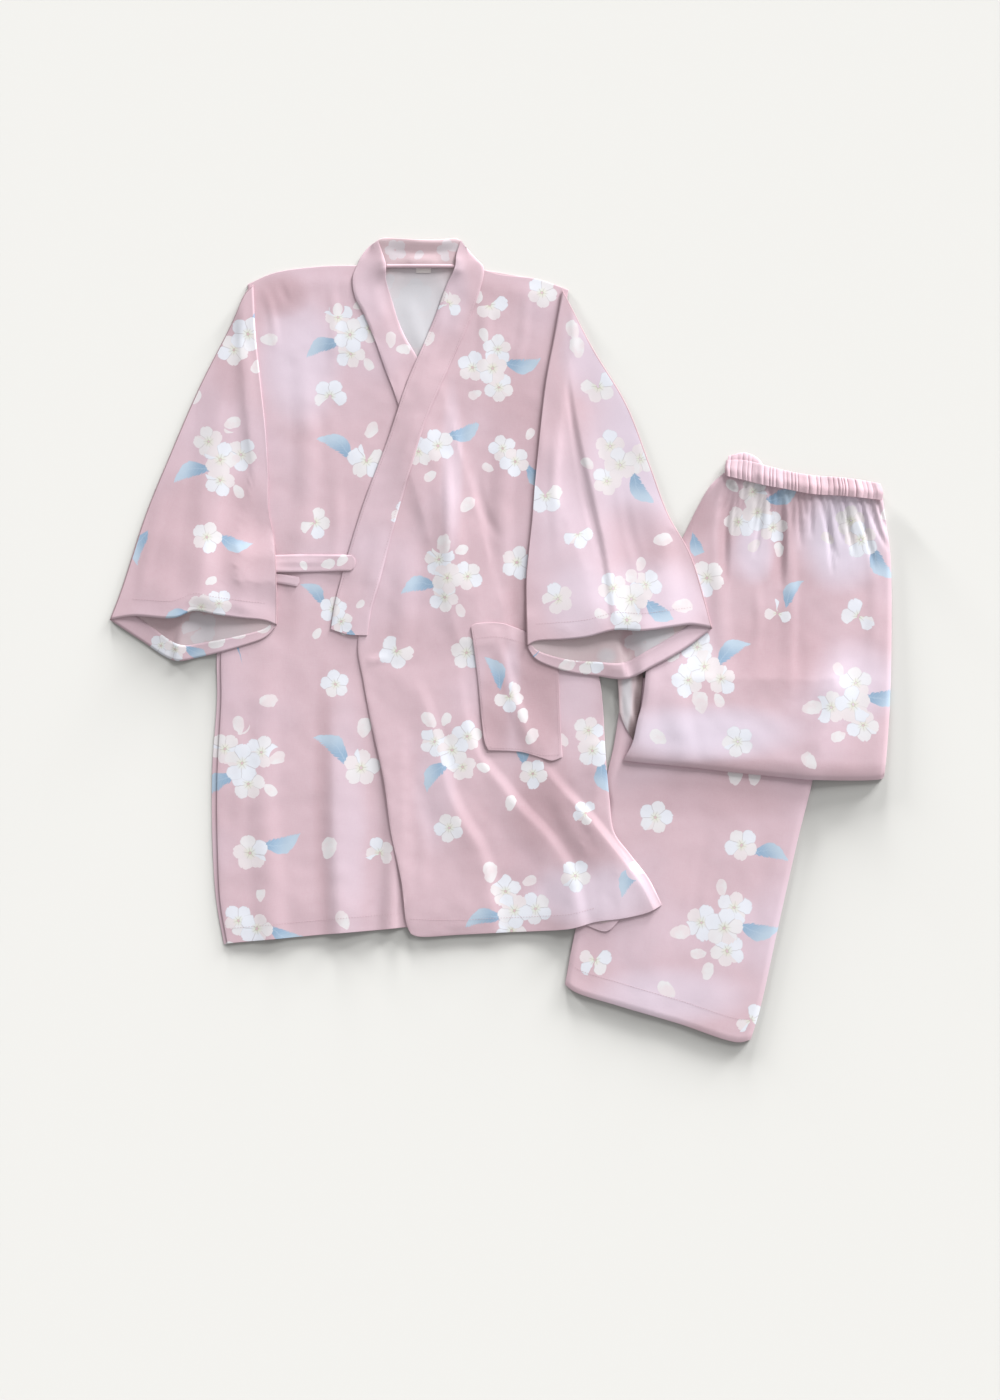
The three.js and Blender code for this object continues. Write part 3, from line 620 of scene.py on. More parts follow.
def layStack(name, node, panel, front):
    # folded cloth lying in layers: a crowned upper side, a rim that shows the layers, a flat underside
    form = usual["stack"] | panel
    across, lengthwise = evenSteps(form)
    us, vs = np.linspace(0, 1, across + 1), np.linspace(0, 1, lengthwise + 1)
    points = panelPoints(form, us, vs)
    under, _ = settled(points)
    bridged, _ = settled(points, form["bridge"])
    u, v = np.meshgrid(us, vs)
    sizeU = np.linalg.norm(points[:, -1] - points[:, 0], axis=1).mean()
    sizeV = np.linalg.norm(points[-1] - points[0], axis=1).mean()
    inner = edgeShare(under.shape, form["edge"])
    top = bridged + form["height"](points) + foldHeights(points, form["folds"])
    top += form["uneven"] * inner * ripples(points, form["waves"], len(name))
    for gap, (radius, drop) in zip((u * sizeU, (1 - u) * sizeU, v * sizeV, (1 - v) * sizeV), form["roll"]):
        into = np.clip(gap / radius, 0, 1)
        top -= drop * (1 - np.sqrt(1 - (1 - into) ** 2))
    top = np.maximum(top, under + form["least"])
    rows, cols = top.shape
    ring = [(0, i) for i in range(cols)] + [(j, cols - 1) for j in range(1, rows)]
    ring += [(rows - 1, i) for i in range(cols - 2, -1, -1)] + [(j, 0) for j in range(rows - 2, -1, -1)]
    count = form["layers"] * form["rimSteps"]
    rimPoints = np.zeros((count + 1, len(ring), 2))
    rimHeights = np.zeros((count + 1, len(ring)))
    for n, (j, i) in enumerate(ring):
        before, after = points[ring[n - 1 if n else -2]], points[ring[n + 1 if n + 1 < len(ring) else 1]]
        way = np.array([after[1] - before[1], before[0] - after[0]])
        way /= np.linalg.norm(way)
        for k in range(count + 1):
            share = k / count
            bulge = abs(math.sin(math.pi * form["layers"] * share)) ** 0.6
            rimPoints[k, n] = points[j, i] + way * form["rim"] * bulge
            rimHeights[k, n] = top[j, i] * (1 - share) + under[j, i] * share
    bm = bmesh.new()
    gridInto(bm, points, top)
    gridInto(bm, rimPoints, rimHeights)
    gridInto(bm, points, under)
    bmesh.ops.remove_doubles(bm, verts=bm.verts[:], dist=1e-6)
    bmesh.ops.recalc_face_normals(bm, faces=bm.faces[:])
    piece = objectOf(name, bm, [front])
    cover(points, top)
    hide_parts(node)
    declared(form["cut"], panelArea(points))
    panel["laid"] = (points, top)
    print(f"{name}: {across} by {lengthwise}, top {top.min():.1f} to {top.max():.1f} mm")
    return piece


def laySleeve(name, node, sleeve, front, behind):
    # a flattened tube, open at armhole and cuff; the lower hem reaches past the upper one
    grid = usual["sleeve"]
    nearFold = np.array(grid["nearFold"])
    middle = np.linspace(0.030, 0.970, round(sleeve["across"] / grid["across"]))
    us = np.concatenate([nearFold, middle, 1 - nearFold[::-1]])
    lengthwise = round(softCurve(sleeve["shoulderFold"])[2] / grid["along"])
    vs = np.linspace(0, 1, lengthwise + 1)
    edges = {"foot": sleeve["armhole"], "left": sleeve["shoulderFold"], "right": sleeve["underarm"]}
    lowerPoints = panelPoints(dict(edges, head=sleeve["lowerCuff"]), us, vs)
    upperPoints = panelPoints(dict(edges, head=sleeve["upperCuff"]), us, vs)
    shell = layout["shell"]
    lowRest, lowSupport = settled(lowerPoints)
    low = np.maximum(lowRest + foldHeights(lowerPoints, sleeve["lowerFolds"]), lowSupport)
    cover(lowerPoints, low + shell)
    highRest, highSupport = settled(upperPoints)
    u, v = us[None], vs[:, None]
    mouth = np.clip((v - sleeve["mouthFrom"]) / (1 - sleeve["mouthFrom"]), 0, 1)
    mouth = mouth * mouth * (3 - 2 * mouth)
    inner = edgeShare(highRest.shape, grid["edge"])
    air = sleeve["airGap"] + sleeve["mouthRise"] * mouth * np.sin(np.pi * u) ** 1.4
    high = highRest + air + (foldHeights(upperPoints, sleeve["folds"])
                             + grid["uneven"] * softNoise(upperPoints, grid["wave"], len(name))) * inner
    high = np.maximum(high, highSupport + grid["clear"]) + shell
    gap = np.minimum(u, 1 - u) * sleeve["across"]
    roundIn = np.sqrt(np.clip(1 - (1 - gap / sleeve["foldRadius"]).clip(0, 1) ** 2, 0, 1))
    mid = (low + np.minimum(high, low + 2 * shell + grid["foldHeight"])) / 2
    upperSkin = mid + (high - mid) * roundIn
    lowerSkin = mid + (low - mid) * roundIn
    loopPoints = np.concatenate([upperPoints, lowerPoints[:, -2::-1]], axis=1)
    loopHeights = np.concatenate([upperSkin, lowerSkin[:, -2::-1]], axis=1)
    loopPoints[:, -1], loopHeights[:, -1] = loopPoints[:, 0], loopHeights[:, 0]
    n = len(us) - 1
    loopPoints[:, n] = (upperPoints[:, n] + lowerPoints[:, n]) / 2
    loopPoints[:, 0] = (upperPoints[:, 0] + lowerPoints[:, 0]) / 2
    loopPoints[:, -1] = loopPoints[:, 0]
    bm = bmesh.new()
    gridInto(bm, loopPoints, loopHeights)
    bmesh.ops.remove_doubles(bm, verts=bm.verts[:], dist=1e-6)
    bm.faces.ensure_lookup_table()
    probe = max(bm.faces, key=lambda f: f.calc_center_median().z)
    if probe.normal.z < 0:
        bmesh.ops.reverse_faces(bm, faces=bm.faces[:])
    for k, face in enumerate(bm.faces):  # the faces along the folds at both sides take the edge material, a painted shade
        if min(k % (2 * n), abs(k % (2 * n) - n + 0.5) - 0.5, 2 * n - 1 - k % (2 * n)) < grid["paintedEdgeShade"]:
            face.material_index = 2
    piece = shelled(objectOf(name, bm, [front, behind, finishes["edge"], finishes["edge"]]), shell, -1.0)
    cover(upperPoints, upperSkin)
    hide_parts(node)
    declared(sleeve["cut"], panelArea(lowerPoints) + panelArea(upperPoints))
    sleeve["laid"] = (upperPoints, upperSkin)
    sleeve["inside"] = (lowerPoints, lowerSkin + shell)
    # the turned hem inside the lower half of the mouth, print side out
    rowsIn = max(3, round(sleeve["hemTurn"] / grid["along"]))
    strip = lowerPoints[-rowsIn - 1:, 3:-3]
    inside = (lowerSkin + shell)[-rowsIn - 1:, 3:-3] + grid["hemGap"]
    bm = bmesh.new()
    gridInto(bm, strip, inside)
    hem = shelled(objectOf(name + "HemTurn", bm, [front, behind, finishes["edge"]]), grid["hemWall"], 1.0)
    declared(sleeve["hemCut"], panelArea(strip))
    print(f"{name}: {len(us)} by {lengthwise}, {low.min():.1f} to {high.max():.1f} mm")
    return piece


def surfaceHeight(laid, places):
    # height of a laid piece at some places, from its four nearest corners
    points, heights = laid
    flat = points.reshape(-1, 2)
    out = []
    for place in places:
        gap = ((flat - place) ** 2).sum(axis=1)
        near = np.argpartition(gap, 4)[:4]
        weight = 1 / (gap[near] + 0.05)
        out.append(float((heights.reshape(-1)[near] * weight).sum() / weight.sum()))
    return out


def stitchRows(name, rows, material):
    # rows of small rounded stitches along paths that lie on laid pieces
    whole = bmesh.new()
    size = Matrix.Diagonal((sewing["stitch"] * mm, sewing["wide"] * mm, sewing["tall"] * mm, 1))
    for laid, path in rows:
        curve = softCurve(path, 12)
        count = int(curve[2] / (sewing["stitch"] + sewing["gap"]))
        ts = (np.arange(count) + 0.5) / count
        places = along(curve, ts)
        step = 0.3 / count
        ahead = along(curve, np.clip(ts + step, 0, 1)) - along(curve, np.clip(ts - step, 0, 1))
        row = bmesh.new()
        for place, way, z in zip(places, ahead, surfaceHeight(laid, places)):
            turn = Matrix.Rotation(math.atan2(way[1], way[0]), 4, "Z")
            spot = Matrix.Translation((place[0] * mm, place[1] * mm, (z + sewing["clear"]) * mm))
            bmesh.ops.create_uvsphere(row, u_segments=6, v_segments=4, radius=0.5,
                                      matrix=spot @ turn @ size)
        for face in row.faces:
            face.smooth = True
        sewn = bpy.data.meshes.new("row")
        row.to_mesh(sewn)
        row.free()
        whole.from_mesh(sewn)
        bpy.data.meshes.remove(sewn)
    piece = objectOf(name, whole, [material])
    print(f"{name}: {len(rows)} rows")
    return piece


# the print: what each panel carries, as kind, x, y, turn in degrees (mirrored if below 0) and size
printCharts = {
    "sleeveRight": [
        ("pair", -290, 350, 192, 1.0), ("petal", -350, 278, 70, 1.0), ("spray", -322, 206, 338, 1.0),
        ("leafed", -337, 117, 123, 0.9), ("leaf", -407, 137, 30, 0.9), ("pair", -343, 36, 337, 0.85),
        ("petal", -308, 248, 20, 1.2), ("petal", -305, 207, 0, 1.1), ("petal", -326, -4, 30, 1.2),
        ("petal", -302, 6, 15, 1.1), ("pair", -374, -12, 130, 0.7), ("petal", -272, 12, 20, 1.0)],
    "frontRight": [
        ("petal", -282, 260, 40, 1.0), ("petal", -266, 344, 0, 1.2), ("spray", -173, 350, 340, 0.95),
        ("petal", -187, 378, 80, 1.0), ("blossom", -196, 279, 41, 0.95), ("leafed", -154, 205, 288, 1.05),
        ("petal", -148, 240, 60, 1.2), ("petal", -141, 171, 15, 1.3), ("blossom", -213, 134, 49, 0.9),
        ("pair", -192, 34, 274, 0.8), ("blossom", -190, -52, 10, 0.8), ("petal", -267, -71, 10, 1.3),
        ("petal", -301, -99, 100, 1.2), ("spray", -297, -143, 355, 1.05), ("leafed", -160, -148, 279, 1.1),
        ("petal", -157, -102, 80, 1.4), ("leafed", -288, -246, 153, 1.05), ("petal", -197, -240, 80, 1.5),
        ("blossom", -139, -246, 17, 0.85), ("pair", -280, -333, 122, 0.95),
        ("petal", -181, -323, 120, 1.3), ("petal", -257, -137, 30, 1.2)],
    "frontLeft": [
        ("blossom", -12, 384, 60, 0.95), ("blossom", -64, 387, 65, 0.9), ("petal", -26, 393, 100, 1.0),
        ("blossom", 48, 398, 40, 0.9), ("spray", -9, 311, 143, 0.95), ("pair", -72, 222, 163, 0.95),
        ("pair", 17, 204, 100, 0.85), ("petal", -38, 154, 50, 1.2), ("spray", -61, 70, 330, 0.95),
        ("petal", -65, 108, 90, 1.4), ("blossom", -119, -14, 41, 1.0), ("blossom", 19, 88, 57, 0.95),
        ("blossom", -39, -16, 1, 0.95), ("spray", -55, -128, 9, 0.95), ("petal", -82, -93, 130, 1.3),
        ("petal", 11, -189, 80, 1.1), ("leafed", 37, -155, 254, 0.85), ("pair", 106, -128, 68, 0.95),
        ("blossom", -59, -217, 23, 0.85), ("blossom", 86, -272, 38, 0.9), ("petal", -12, -268, 90, 1.5),
        ("spray", 16, -312, 330, 1.0), ("leaf", 170, -246, 10, 1.0), ("blossom", 98, -200, 40, 0.7),
        ("petal", 158, -262, 150, 1.3)],
    "collarLeft": [
        ("petal", -190, 30, 100, 1.1), ("pair", -183, 20, 80, 0.7), ("blossom", -110, 140, 10, 0.85),
        ("petal", -66, 392, 80, 1.0), ("petal", -82, 345, 70, 1.0), ("blossom", -60, 385, 12, 0.8)],
    "collarRight": [
        ("petal", -126, 344, 90, 1.1), ("petal", -108, 392, 40, 1.0), ("petal", -112, 333, 0, 1.0)],
    "pocket": [("leafed", 10, -66, 254, 0.9), ("petal", 26, -88, 100, 1.1), ("petal", 36, -112, 60, 1.2)],
    "sleeveLeft": [
        ("petal", 83, 355, 110, 1.3), ("petal", 88, 335, 100, 1.5), ("blossom", 112, 290, 18, 1.0),
        ("spray", 138, 200, 85, 1.0), ("blossom", 52, 164, 3, 1.0), ("blossom", 89, 121, 50, 0.85),
        ("petal", 186, 114, 10, 1.3), ("petal", 150, 70, 90, 1.2), ("spray", 150, 45, 113, 1.0),
        ("blossom", 66, 46, 21, 0.95), ("leaf", 206, 178, 50, 0.9), ("petal", 208, 38, 0, 1.4),
        ("blossom", 102, -24, 10, 0.9), ("petal", 76, -30, 20, 1.2)],
    "seat": [
        ("spray", 295, 145, 171, 1.0), ("pair", 414, 114, 84, 1.0), ("petal", 320, 103, 100, 1.0),
        ("blossom", 237, 70, 28, 1.05), ("leafed", 318, 30, -100, 0.8), ("blossom", 411, 26, 160, 1.0),
        ("spray", 234, -32, -75, 1.0), ("petal", 229, -72, 100, 1.6), ("spray", 405, -76, 151, 1.05),
        ("petal", 357, -79, 10, 1.4), ("petal", 181, -113, 140, 1.3), ("blossom", 272, -118, 21, 0.9),
        ("petal", 354, -140, 130, 1.3), ("leaf", 211, 128, 80, 0.8)],
    "legs": [
        ("blossom", 178, -205, 55, 0.95), ("leafed", 277, -237, -30, 0.95), ("spray", 257, -332, 132, 1.1),
        ("petal", 206, -337, 10, 1.4), ("petal", 191, -403, 140, 1.4), ("petal", 238, -382, 80, 1.2),
        ("blossom", 287, -438, 47, 0.9), ("blossom", 108, -369, 67, 0.95), ("petal", 270, -155, 90, 1.5),
        ("petal", 292, -158, 80, 1.3)],
    "inside": [
        ("spray", -112, 372, 20, 1.1), ("spray", -300, -200, 40, 1.0), ("spray", -60, 40, 70, 1.0),
        ("pair", -200, 250, 10, 1.0), ("spray", 60, 300, 120, 1.0), ("pair", 80, -160, 60, 1.0),
        ("pair", 166, -4, 20, 1.1), ("blossom", -345, 12, 20, 1.0), ("pair", 150, -70, 60, 0.8)],
    "collarBack": [
        ("blossom", -121, 447, 20, 0.62), ("blossom", -60, 446, 10, 0.62), ("petal", -94, 441, 40, 0.8)],
    "plain": [("petal", -198, 86, 10, 1.0), ("petal", -182, 90, 50, 0.9), ("petal", -226, 84, 120, 0.7)]}
finishes = {}
grains = {
    "sleeveRight": 22, "sleeveLeft": -24, "frontLeft": -4, "frontRight": 2, "collarLeft": 18,
    "collarRight": -20, "seat": 4, "legs": 14}
# paler (above 0) and deeper stretches of each panel, most of them painted highlights and painted shade: x,
# y, half width, half height, strength
paintedLightCharts = {
    "sleeveRight": [(-310, 320, 26, 60, -0.4), (-380, 130, 60, 110, -0.35), (-293, 112, 45, 90, -0.45)],
    "frontRight": [
        (-232, 318, 60, 90, 0.55), (-178, -210, 30, 190, 0.25), (-252, 395, 40, 30, -0.8),
        (-204, -190, 14, 200, -0.45), (-250, 50, 30, 70, -0.5), (-290, -250, 60, 140, -0.1)],
    "frontLeft": [
        (105, -292, 90, 46, 0.55), (52, -186, 46, 70, -0.9), (92, -236, 40, 50, -0.55),
        (24, -240, 36, 74, -0.5), (-26, -236, 30, 70, -0.35), (-56, 190, 16, 120, 0.30),
        (20, 230, 50, 110, -0.5), (26, 30, 30, 90, -0.75), (-30, 110, 40, 60, -0.25),
        (-100, 20, 60, 60, -0.2), (-16, 395, 60, 24, -0.4), (90, -60, 30, 100, 0.15),
        (-75, -180, 30, 80, 0.2)],
    "sleeveLeft": [
        (165, 225, 80, 140, 0.65), (110, 330, 50, 70, 0.5), (175, 50, 80, 55, 0.40),
        (92, 40, 50, 60, 0.35), (160, 118, 60, 50, -0.45), (80, 120, 60, 150, 0.25)],
    "seat": [
        (258, 112, 12, 62, -0.75), (318, 108, 14, 62, -0.75), (293, 112, 26, 56, 0.45),
        (392, 118, 60, 75, 0.85), (235, -108, 130, 40, 0.75), (405, -50, 60, 60, 0.45),
        (287, 96, 34, 40, 0.35), (318, -14, 80, 66, -0.65), (222, 142, 30, 36, -0.6),
        (345, 40, 30, 90, -0.2), (300, -150, 190, 14, -0.5)],
    "legs": [
        (195, -410, 110, 40, 0.5), (250, -180, 150, 34, -0.55), (110, -300, 30, 120, -0.35),
        (320, -350, 50, 100, 0.2)],
    "pocket": [(44, -60, 40, 110, -0.95), (-6, -80, 24, 80, -0.8), (14, -40, 12, 50, 0.15)],
    "collarLeft": [(-60, 400, 30, 60, 0.25), (-150, 150, 60, 120, 0.1)],
    "collarRight": [(-150, 400, 30, 50, 0.15)], "collarBack": [(-92, 446, 90, 40, -0.55)],
    # dark strips: a painted shadow in the narrow gap between the trouser layers, beside a paler strip
    "innerFold": [
        (145, -62, 8, 60, 0.8), (162, -38, 8, 36, -0.95), (157.5, -78, 7, 32, -0.95),
        (151, -108, 6, 24, -0.9)],
    # on the wrong side the deeper stretches are painted shade inside the cuffs and in the trouser gap
    "inside": [
        (-95, 375, 70, 75, 0.85), (-330, 0, 90, 40, -0.25), (120, -30, 50, 20, -0.2),
        (157, -62, 11, 84, -0.95), (-398, 8, 42, 30, -0.55), (-325, 4, 52, 26, 0.35),
        (146, -2, 10, 20, -0.7), (122, -20, 14, 12, 0.6), (174, 0, 26, 16, 0.6)]}
wrongSides = {
    "inside": ("wrong_side", 0.0, "deep"), "collarBack": ("collar_inside", 90.0, "deep"),
    "innerFold": ("inner_fold", 0.0, "gap")}
for chart in sorted(set(printCharts) | set(wrongSides)):
    motifs, tints = printCharts.get(chart, ()), paintedLightCharts.get(chart, ())
    if chart in wrongSides:
        title, grain, deep = wrongSides[chart]
        finishes[chart] = clothMaterial(title, motifs, grain, tints, wrongSide=True, deep=deep)
    else:
        finishes[chart] = clothMaterial("printed_" + chart, motifs, grains.get(chart, 0.0), tints)
finishes["label"] = waveMaterial("label_tape", "label", "petalTip", bands="X", scale=1500.0,
                                 strength=0.3, share=0.12, roughness=0.5)
finishes["band"] = clothMaterial("gathered_band", [], tints=[(350, 185, 600, 600, -0.35)])
# edges, rims and the faces along sleeve folds painted darker all over: a painted shade against the light
# that falls on them
finishes["edge"] = clothMaterial("painted_edge_shade", [], tints=[(0, 0, 3000, 3000, -1.0)], deep="paintedEdgeShade")
finishes["thread"] = waveMaterial("sewing_thread", "thread", "pink", bands="DIAGONAL", scale=900.0,
                                  strength=0.4, share=0.2, roughness=0.6)
print("finishes ready")


# lines that neighbouring pieces share
leftArmhole = [(39, 171), (43, 214), (52, 296), (62, 350), (71, 401)]
rightArmhole = [(-267, 182), (-270, 240), (-275, 290), (-281, 347), (-284, 407)]
rightBandSeam = [(-40, 4), (-118, 271), (-132, 309), (-143, 340), (-158, 376), (-167, 393), (-170, 415)]
leftBandSeam = [
    (-153, 4), (-149, 33), (-139, 68), (-124, 125), (-104, 194), (-85, 254), (-65, 300), (-50, 332),
    (-35, 369), (-24, 401), (-20, 427)]
waistSeam = [
    (258, 187), (279, 182), (303, 176), (326, 172), (357, 166), (390, 164), (420, 161), (438, 159)]
allowance = layout["seamAllowance"]


def strip(x0, x1, y0, y1):
    # the outline of a small straight strip
    return {"left": [(x0, y0), (x0, y1)], "right": [(x1, y0), (x1, y1)], "foot": [(x0, y0), (x1, y0)],
            "head": [(x0, y1), (x1, y1)]}


def crease(height, width, path, crisp=0.0):
    # a fold that dies out at both ends
    return fold(0, height, 0, width, width, path, crisp)


# trousers: the legs folded one on the other, the inner layer that peeks out, the waist and the seat
legs = {
    "left": [
        (75, -397), (87, -335), (107, -262), (125, -191), (122, -167), (131, -123), (137, -85), (143, -45)],
    "right": [(287, -459.8), (298, -423), (318, -332), (341, -230), (358, -162), (372, -100), (384, -50)],
    "foot": [(75, -397), (86, -405), (136, -421), (204, -441), (273, -462.8), (287, -459.8)],
    "head": [(143, -45), (384, -50)], "height": lambda points: np.full(points.shape[:2], 4.2),
    "least": 2.4, "layers": 4, "rim": 0.9, "uneven": 0.4, "roll": [(7, 1.4), (7, 1.4), (4, 0.9), (4, 0.5)],
    "folds": [
        fold(0, 1.4, 1.2, 26, 26, [(215, -180), (185, -300), (165, -420)]),
        fold(0, 1.2, 1.4, 30, 30, [(300, -180), (268, -300), (240, -440)]),
        crease(1.2, 14, [(130, -250), (155, -300), (150, -380)]),
        crease(-0.8, 12, [(240, -200), (225, -290), (215, -360)]),
        crease(0.9, 16, [(330, -210), (310, -300), (290, -400)])],
    "cut": (260, 420), "rests": []}
layStack("trouserLegs", "trouser_legs", legs, finishes["legs"])

innerLayer = {
    "left": [(137, -84), (136, -60), (135, -40), (138, -20)],
    "right": [(153, -118), (158, -94), (162, -60), (166, -10)],
    "foot": [(137, -84), (142, -98), (153, -118)], "head": [(138, -20), (166, -10)], "spacing": 2.5,
    "folds": [
        fold(0.5, 2.2, 0.5, 8, 8, [(149, -100), (148, -60), (152, -15)]),
        crease(1.2, 5, [(146, -90), (141, -50)])],
    "edge": 0.1, "uneven": 0.4, "cut": (30, 110), "rests": ["trouserLegs"]}
layPanel("innerLayer", "trouser_inner_layer", innerLayer, finishes["innerFold"], finishes["legs"])


# the elastic band's ribs: waves that shift them and change their height, as reach, rate and start
bandRibs = {
    "count": 29, "shifts": [(1.7, 17, 0), (1.0, 41, 1), (0.5, 83, 0)],
    "height": 2.2, "heights": [(0.6, 23, 2), (0.4, 61, 0)], "roundness": 0.32}


def bandGathers(us):
    # rounded ribs with narrow creases between
    turns = np.pi * bandRibs["count"] * us
    for reach, rate, start in bandRibs["shifts"]:
        turns = turns + reach * np.sin(rate * us + start)
    height = bandRibs["height"]
    for reach, rate, start in bandRibs["heights"]:
        height = height + reach * np.sin(rate * us + start)
    return height[None] * np.abs(np.cos(turns[None])) ** bandRibs["roundness"]


bandBack = {
    "left": [(260, 190), (262, 210)], "right": [(430, 163), (432, 178)],
    "foot": [(260, 190), (303, 180), (357, 170), (430, 163)],
    "head": [(262, 210), (281, 213.5), (294, 208), (308, 193), (341, 185), (390, 181), (432, 174)],
    "spacingAcross": 1.0, "spacingAlong": 3.0, "wall": 1.2, "edge": 0.1,
    "folds": [fold(1, 2.2, 1, 16, 12, [(262, 203), (281, 206), (300, 196)])],
    "lift": lambda points, us, vs: bandGathers(us + 0.013) * (0.5 + 0.5 * np.sin(np.pi * vs[:, None])),
    "cut": (172, 24), "rests": []}
layPanel("waistbandBack", "waistband_back", bandBack, finishes["band"], finishes["inside"])

waistLine = softCurve(waistSeam)
seatFolds = [
    fold(-1.2, -1.2, -1.2, 24, 24, moved(waistSeam[::-1], 0, allowance / 2)),
    fold(0, 2.4, 0, 16, 10, [(330, 140), (334, 40), (330, -70)]),
    fold(0, 2.2, 0, 14, 16, [(255, 150), (250, 60), (262, -60)]),
    fold(0, 2.2, 2.5, 26, 26, [(400, 60), (385, -60), (350, -155)]),
    fold(0, 1.8, 2.0, 24, 20, [(215, 40), (200, -60), (215, -140)]),
    fold(-7.0, -7.5, 0, 16, 3.5, [(268, 172), (261, 130), (259, 66)], 0.9),
    fold(-7.0, -8.5, 0, 18, 3.5, [(324, 168), (325, 110), (324, 56)], 0.9),
    crease(1.2, 9, [(293, 70), (296, 20), (290, -30)]),
    crease(-1.0, 12, [(340, 10), (345, -40), (338, -90)]),
    crease(1.4, 12, [(425, 110), (430, 40), (424, -40)])]
gathers = {
    "lengths": [
        28, 46, 70, 40, 24, 60, 84, 50, 34, 26, 44, 66, 30, 52, 78, 92, 56, 38, 72, 48, 86, 60, 36, 50],
    "shift": 0.3, "centre": 0.42, "fan": 0.75, "sway": 0.12, "depth": -5.8, "uneven": 3.0, "middle": -4.4,
    "leftWidth": 5.0, "rightWidth": 2.0, "crisp": 0.7}
for k, length in enumerate(gathers["lengths"]):
    share = (k + 0.5 + gathers["shift"] * math.sin(5.1 * k)) / len(gathers["lengths"])
    topX, topY = along(waistLine, share)
    lean = (share - gathers["centre"]) * gathers["fan"] + gathers["sway"] * math.sin(3.7 * k)
    path = [(topX, topY + 2), (topX + lean * length * 0.5, topY - length * 0.55),
            (topX + lean * length, topY - length)]
    depth = gathers["depth"] - gathers["uneven"] * math.sin(2.9 * k)
    seatFolds.append(fold(depth, gathers["middle"], 0, gathers["leftWidth"], gathers["rightWidth"],
                          path, gathers["crisp"]))
seat = {
    "left": [
        (142, -139), (152, -120), (158, -94), (163, -75), (168, -34), (174, 22), (189, 68), (209, 113),
        (229, 154), (243, 177), (258, 187 + allowance / 2)],
    "right": [
        (440, -158), (443, -128), (447, -62), (448.5, 44), (447, 97), (441, 141),
        (438, 159 + allowance / 2)],
    "foot": [
        (142, -139), (170, -142), (221, -147), (264, -152), (333, -159), (356, -161), (438, -160),
        (440, -158)],
    "head": moved(waistSeam, 0, allowance / 2), "spacing": 3.0, "least": 1.8, "layers": 3, "rim": 0.9,
    "uneven": 0.5, "height": lambda points: 5.0 + 2.0 * np.clip((60 - points[..., 1]) / 220, 0, 1),
    "roll": [(12, 2.2), (12, 2.0), (20, 3.6), (3, 0.4)], "bridge": 300, "folds": seatFolds,
    "cut": (300, 330), "rests": ["trouserLegs", "innerLayer"]}
layStack("trouserSeat", "trouser_seat", seat, finishes["seat"])

bandFront = {
    "left": [(258, 187), (257.5, 196), (259, 205)], "right": [(438.5, 160), (439, 169), (436, 178)],
    "foot": waistSeam,
    "head": [
        (259, 205), (279, 205), (311, 197), (341, 190), (362, 187), (390, 185), (420, 181), (436, 178)],
    "spacingAcross": 0.65, "spacingAlong": 2.0, "wall": 0.7, "edge": 0.03, "loft": 0.0, "uneven": 0.1,
    "lift": lambda points, us, vs: bandGathers(us) * (0.75 + 0.25 * np.sin(np.pi * vs[:, None])),
    "cut": (185, 26), "rests": ["waistbandBack", "trouserSeat"], "held": "gathered"}
layPanel("waistbandFront", "waistband_front", bandFront, finishes["band"], finishes["inside"])

# the top: back, label, collar, fronts, pocket, ties and sleeves
backPanel = {
    "left": [
        (-318, -351), (-327, -300), (-331, -243), (-332, -185), (-331, -139), (-326, -70), (-325, -1),
        (-300, 95)] + moved(rightArmhole, -allowance),
    "right": [
        (137, -322), (129, -229), (124, -185), (120, -139), (113, -47), (84, 60)] +
        moved(leftArmhole, allowance),
    "foot": [
        (-318, -351), (-258, -344), (-205, -339), (-134, -333), (0, -328), (90, -327), (122, -336),
        (137, -322)],
    "head": [
        (-284 - allowance, 407), (-259, 420), (-208, 427), (-160, 429), (-132, 428), (-52, 429),
        (-18, 424), (40, 413), (71 + allowance, 401)],
    "spacing": 5.0, "loft": 0.3, "uneven": 0.4,
    "folds": [
        crease(1.6, 14, [(-110, 400), (-95, 350), (-75, 300)]), crease(1.2, 10, [(-70, 420), (-62, 390)]),
        fold(0, 2, 2.5, 18, 12, [(118, -200), (124, -270), (130, -330)])],
    "turned": 3, "cut": (470, 780), "rests": []}
layPanel("back", "back", backPanel, finishes["inside"], finishes["frontRight"])

label = {
    **strip(-97, -80, 421, 427), "spacing": 0.8, "wall": 0.45, "edge": 0.2, "loft": 0.1, "uneven": 0.0,
    "folds": [crease(0.5, 4, [(-95, 423), (-88, 424), (-82, 423)])]}
layPanel("neckLabel", "neck_label", label, finishes["label"], finishes["label"])

collarBack = {
    "left": [(-132, 427), (-136, 441), (-141, 458)], "right": [(-52, 427), (-50, 441), (-45, 457)],
    "foot": [(-132, 427), (-92, 427), (-52, 427)],
    "head": [(-141, 458), (-135, 460), (-119, 460), (-91, 458), (-67, 458), (-52, 459.5), (-45, 457)],
    "spacing": 2.5, "wall": 1.8, "edge": 0.1, "uneven": 0.4,
    "folds": [
        fold(2, 4, 2, 14, 10, [(-138, 460), (-92, 458), (-48, 459)]),
        crease(-1.2, 4, [(-130, 446), (-92, 443), (-55, 446)]),
        crease(1.0, 5, [(-128, 434), (-92, 435), (-56, 434)])],
    "cut": (90, 34), "rests": ["back"]}
layPanel("collarBack", "collar_back", collarBack, finishes["collarBack"], finishes["inside"])

seamRoll = {
    **strip(-131, -53, 426.6, 430.2), "spacingAcross": 2.0, "spacingAlong": 0.5, "wall": 0.4, "loft": 0.0,
    "uneven": 0.0, "lift": lambda points, us, vs: 0.7 * np.sin(np.pi * vs[:, None]) ** 0.6 + 0 * us[None]}
layPanel("neckSeam", None, seamRoll, finishes["plain"], finishes["plain"])

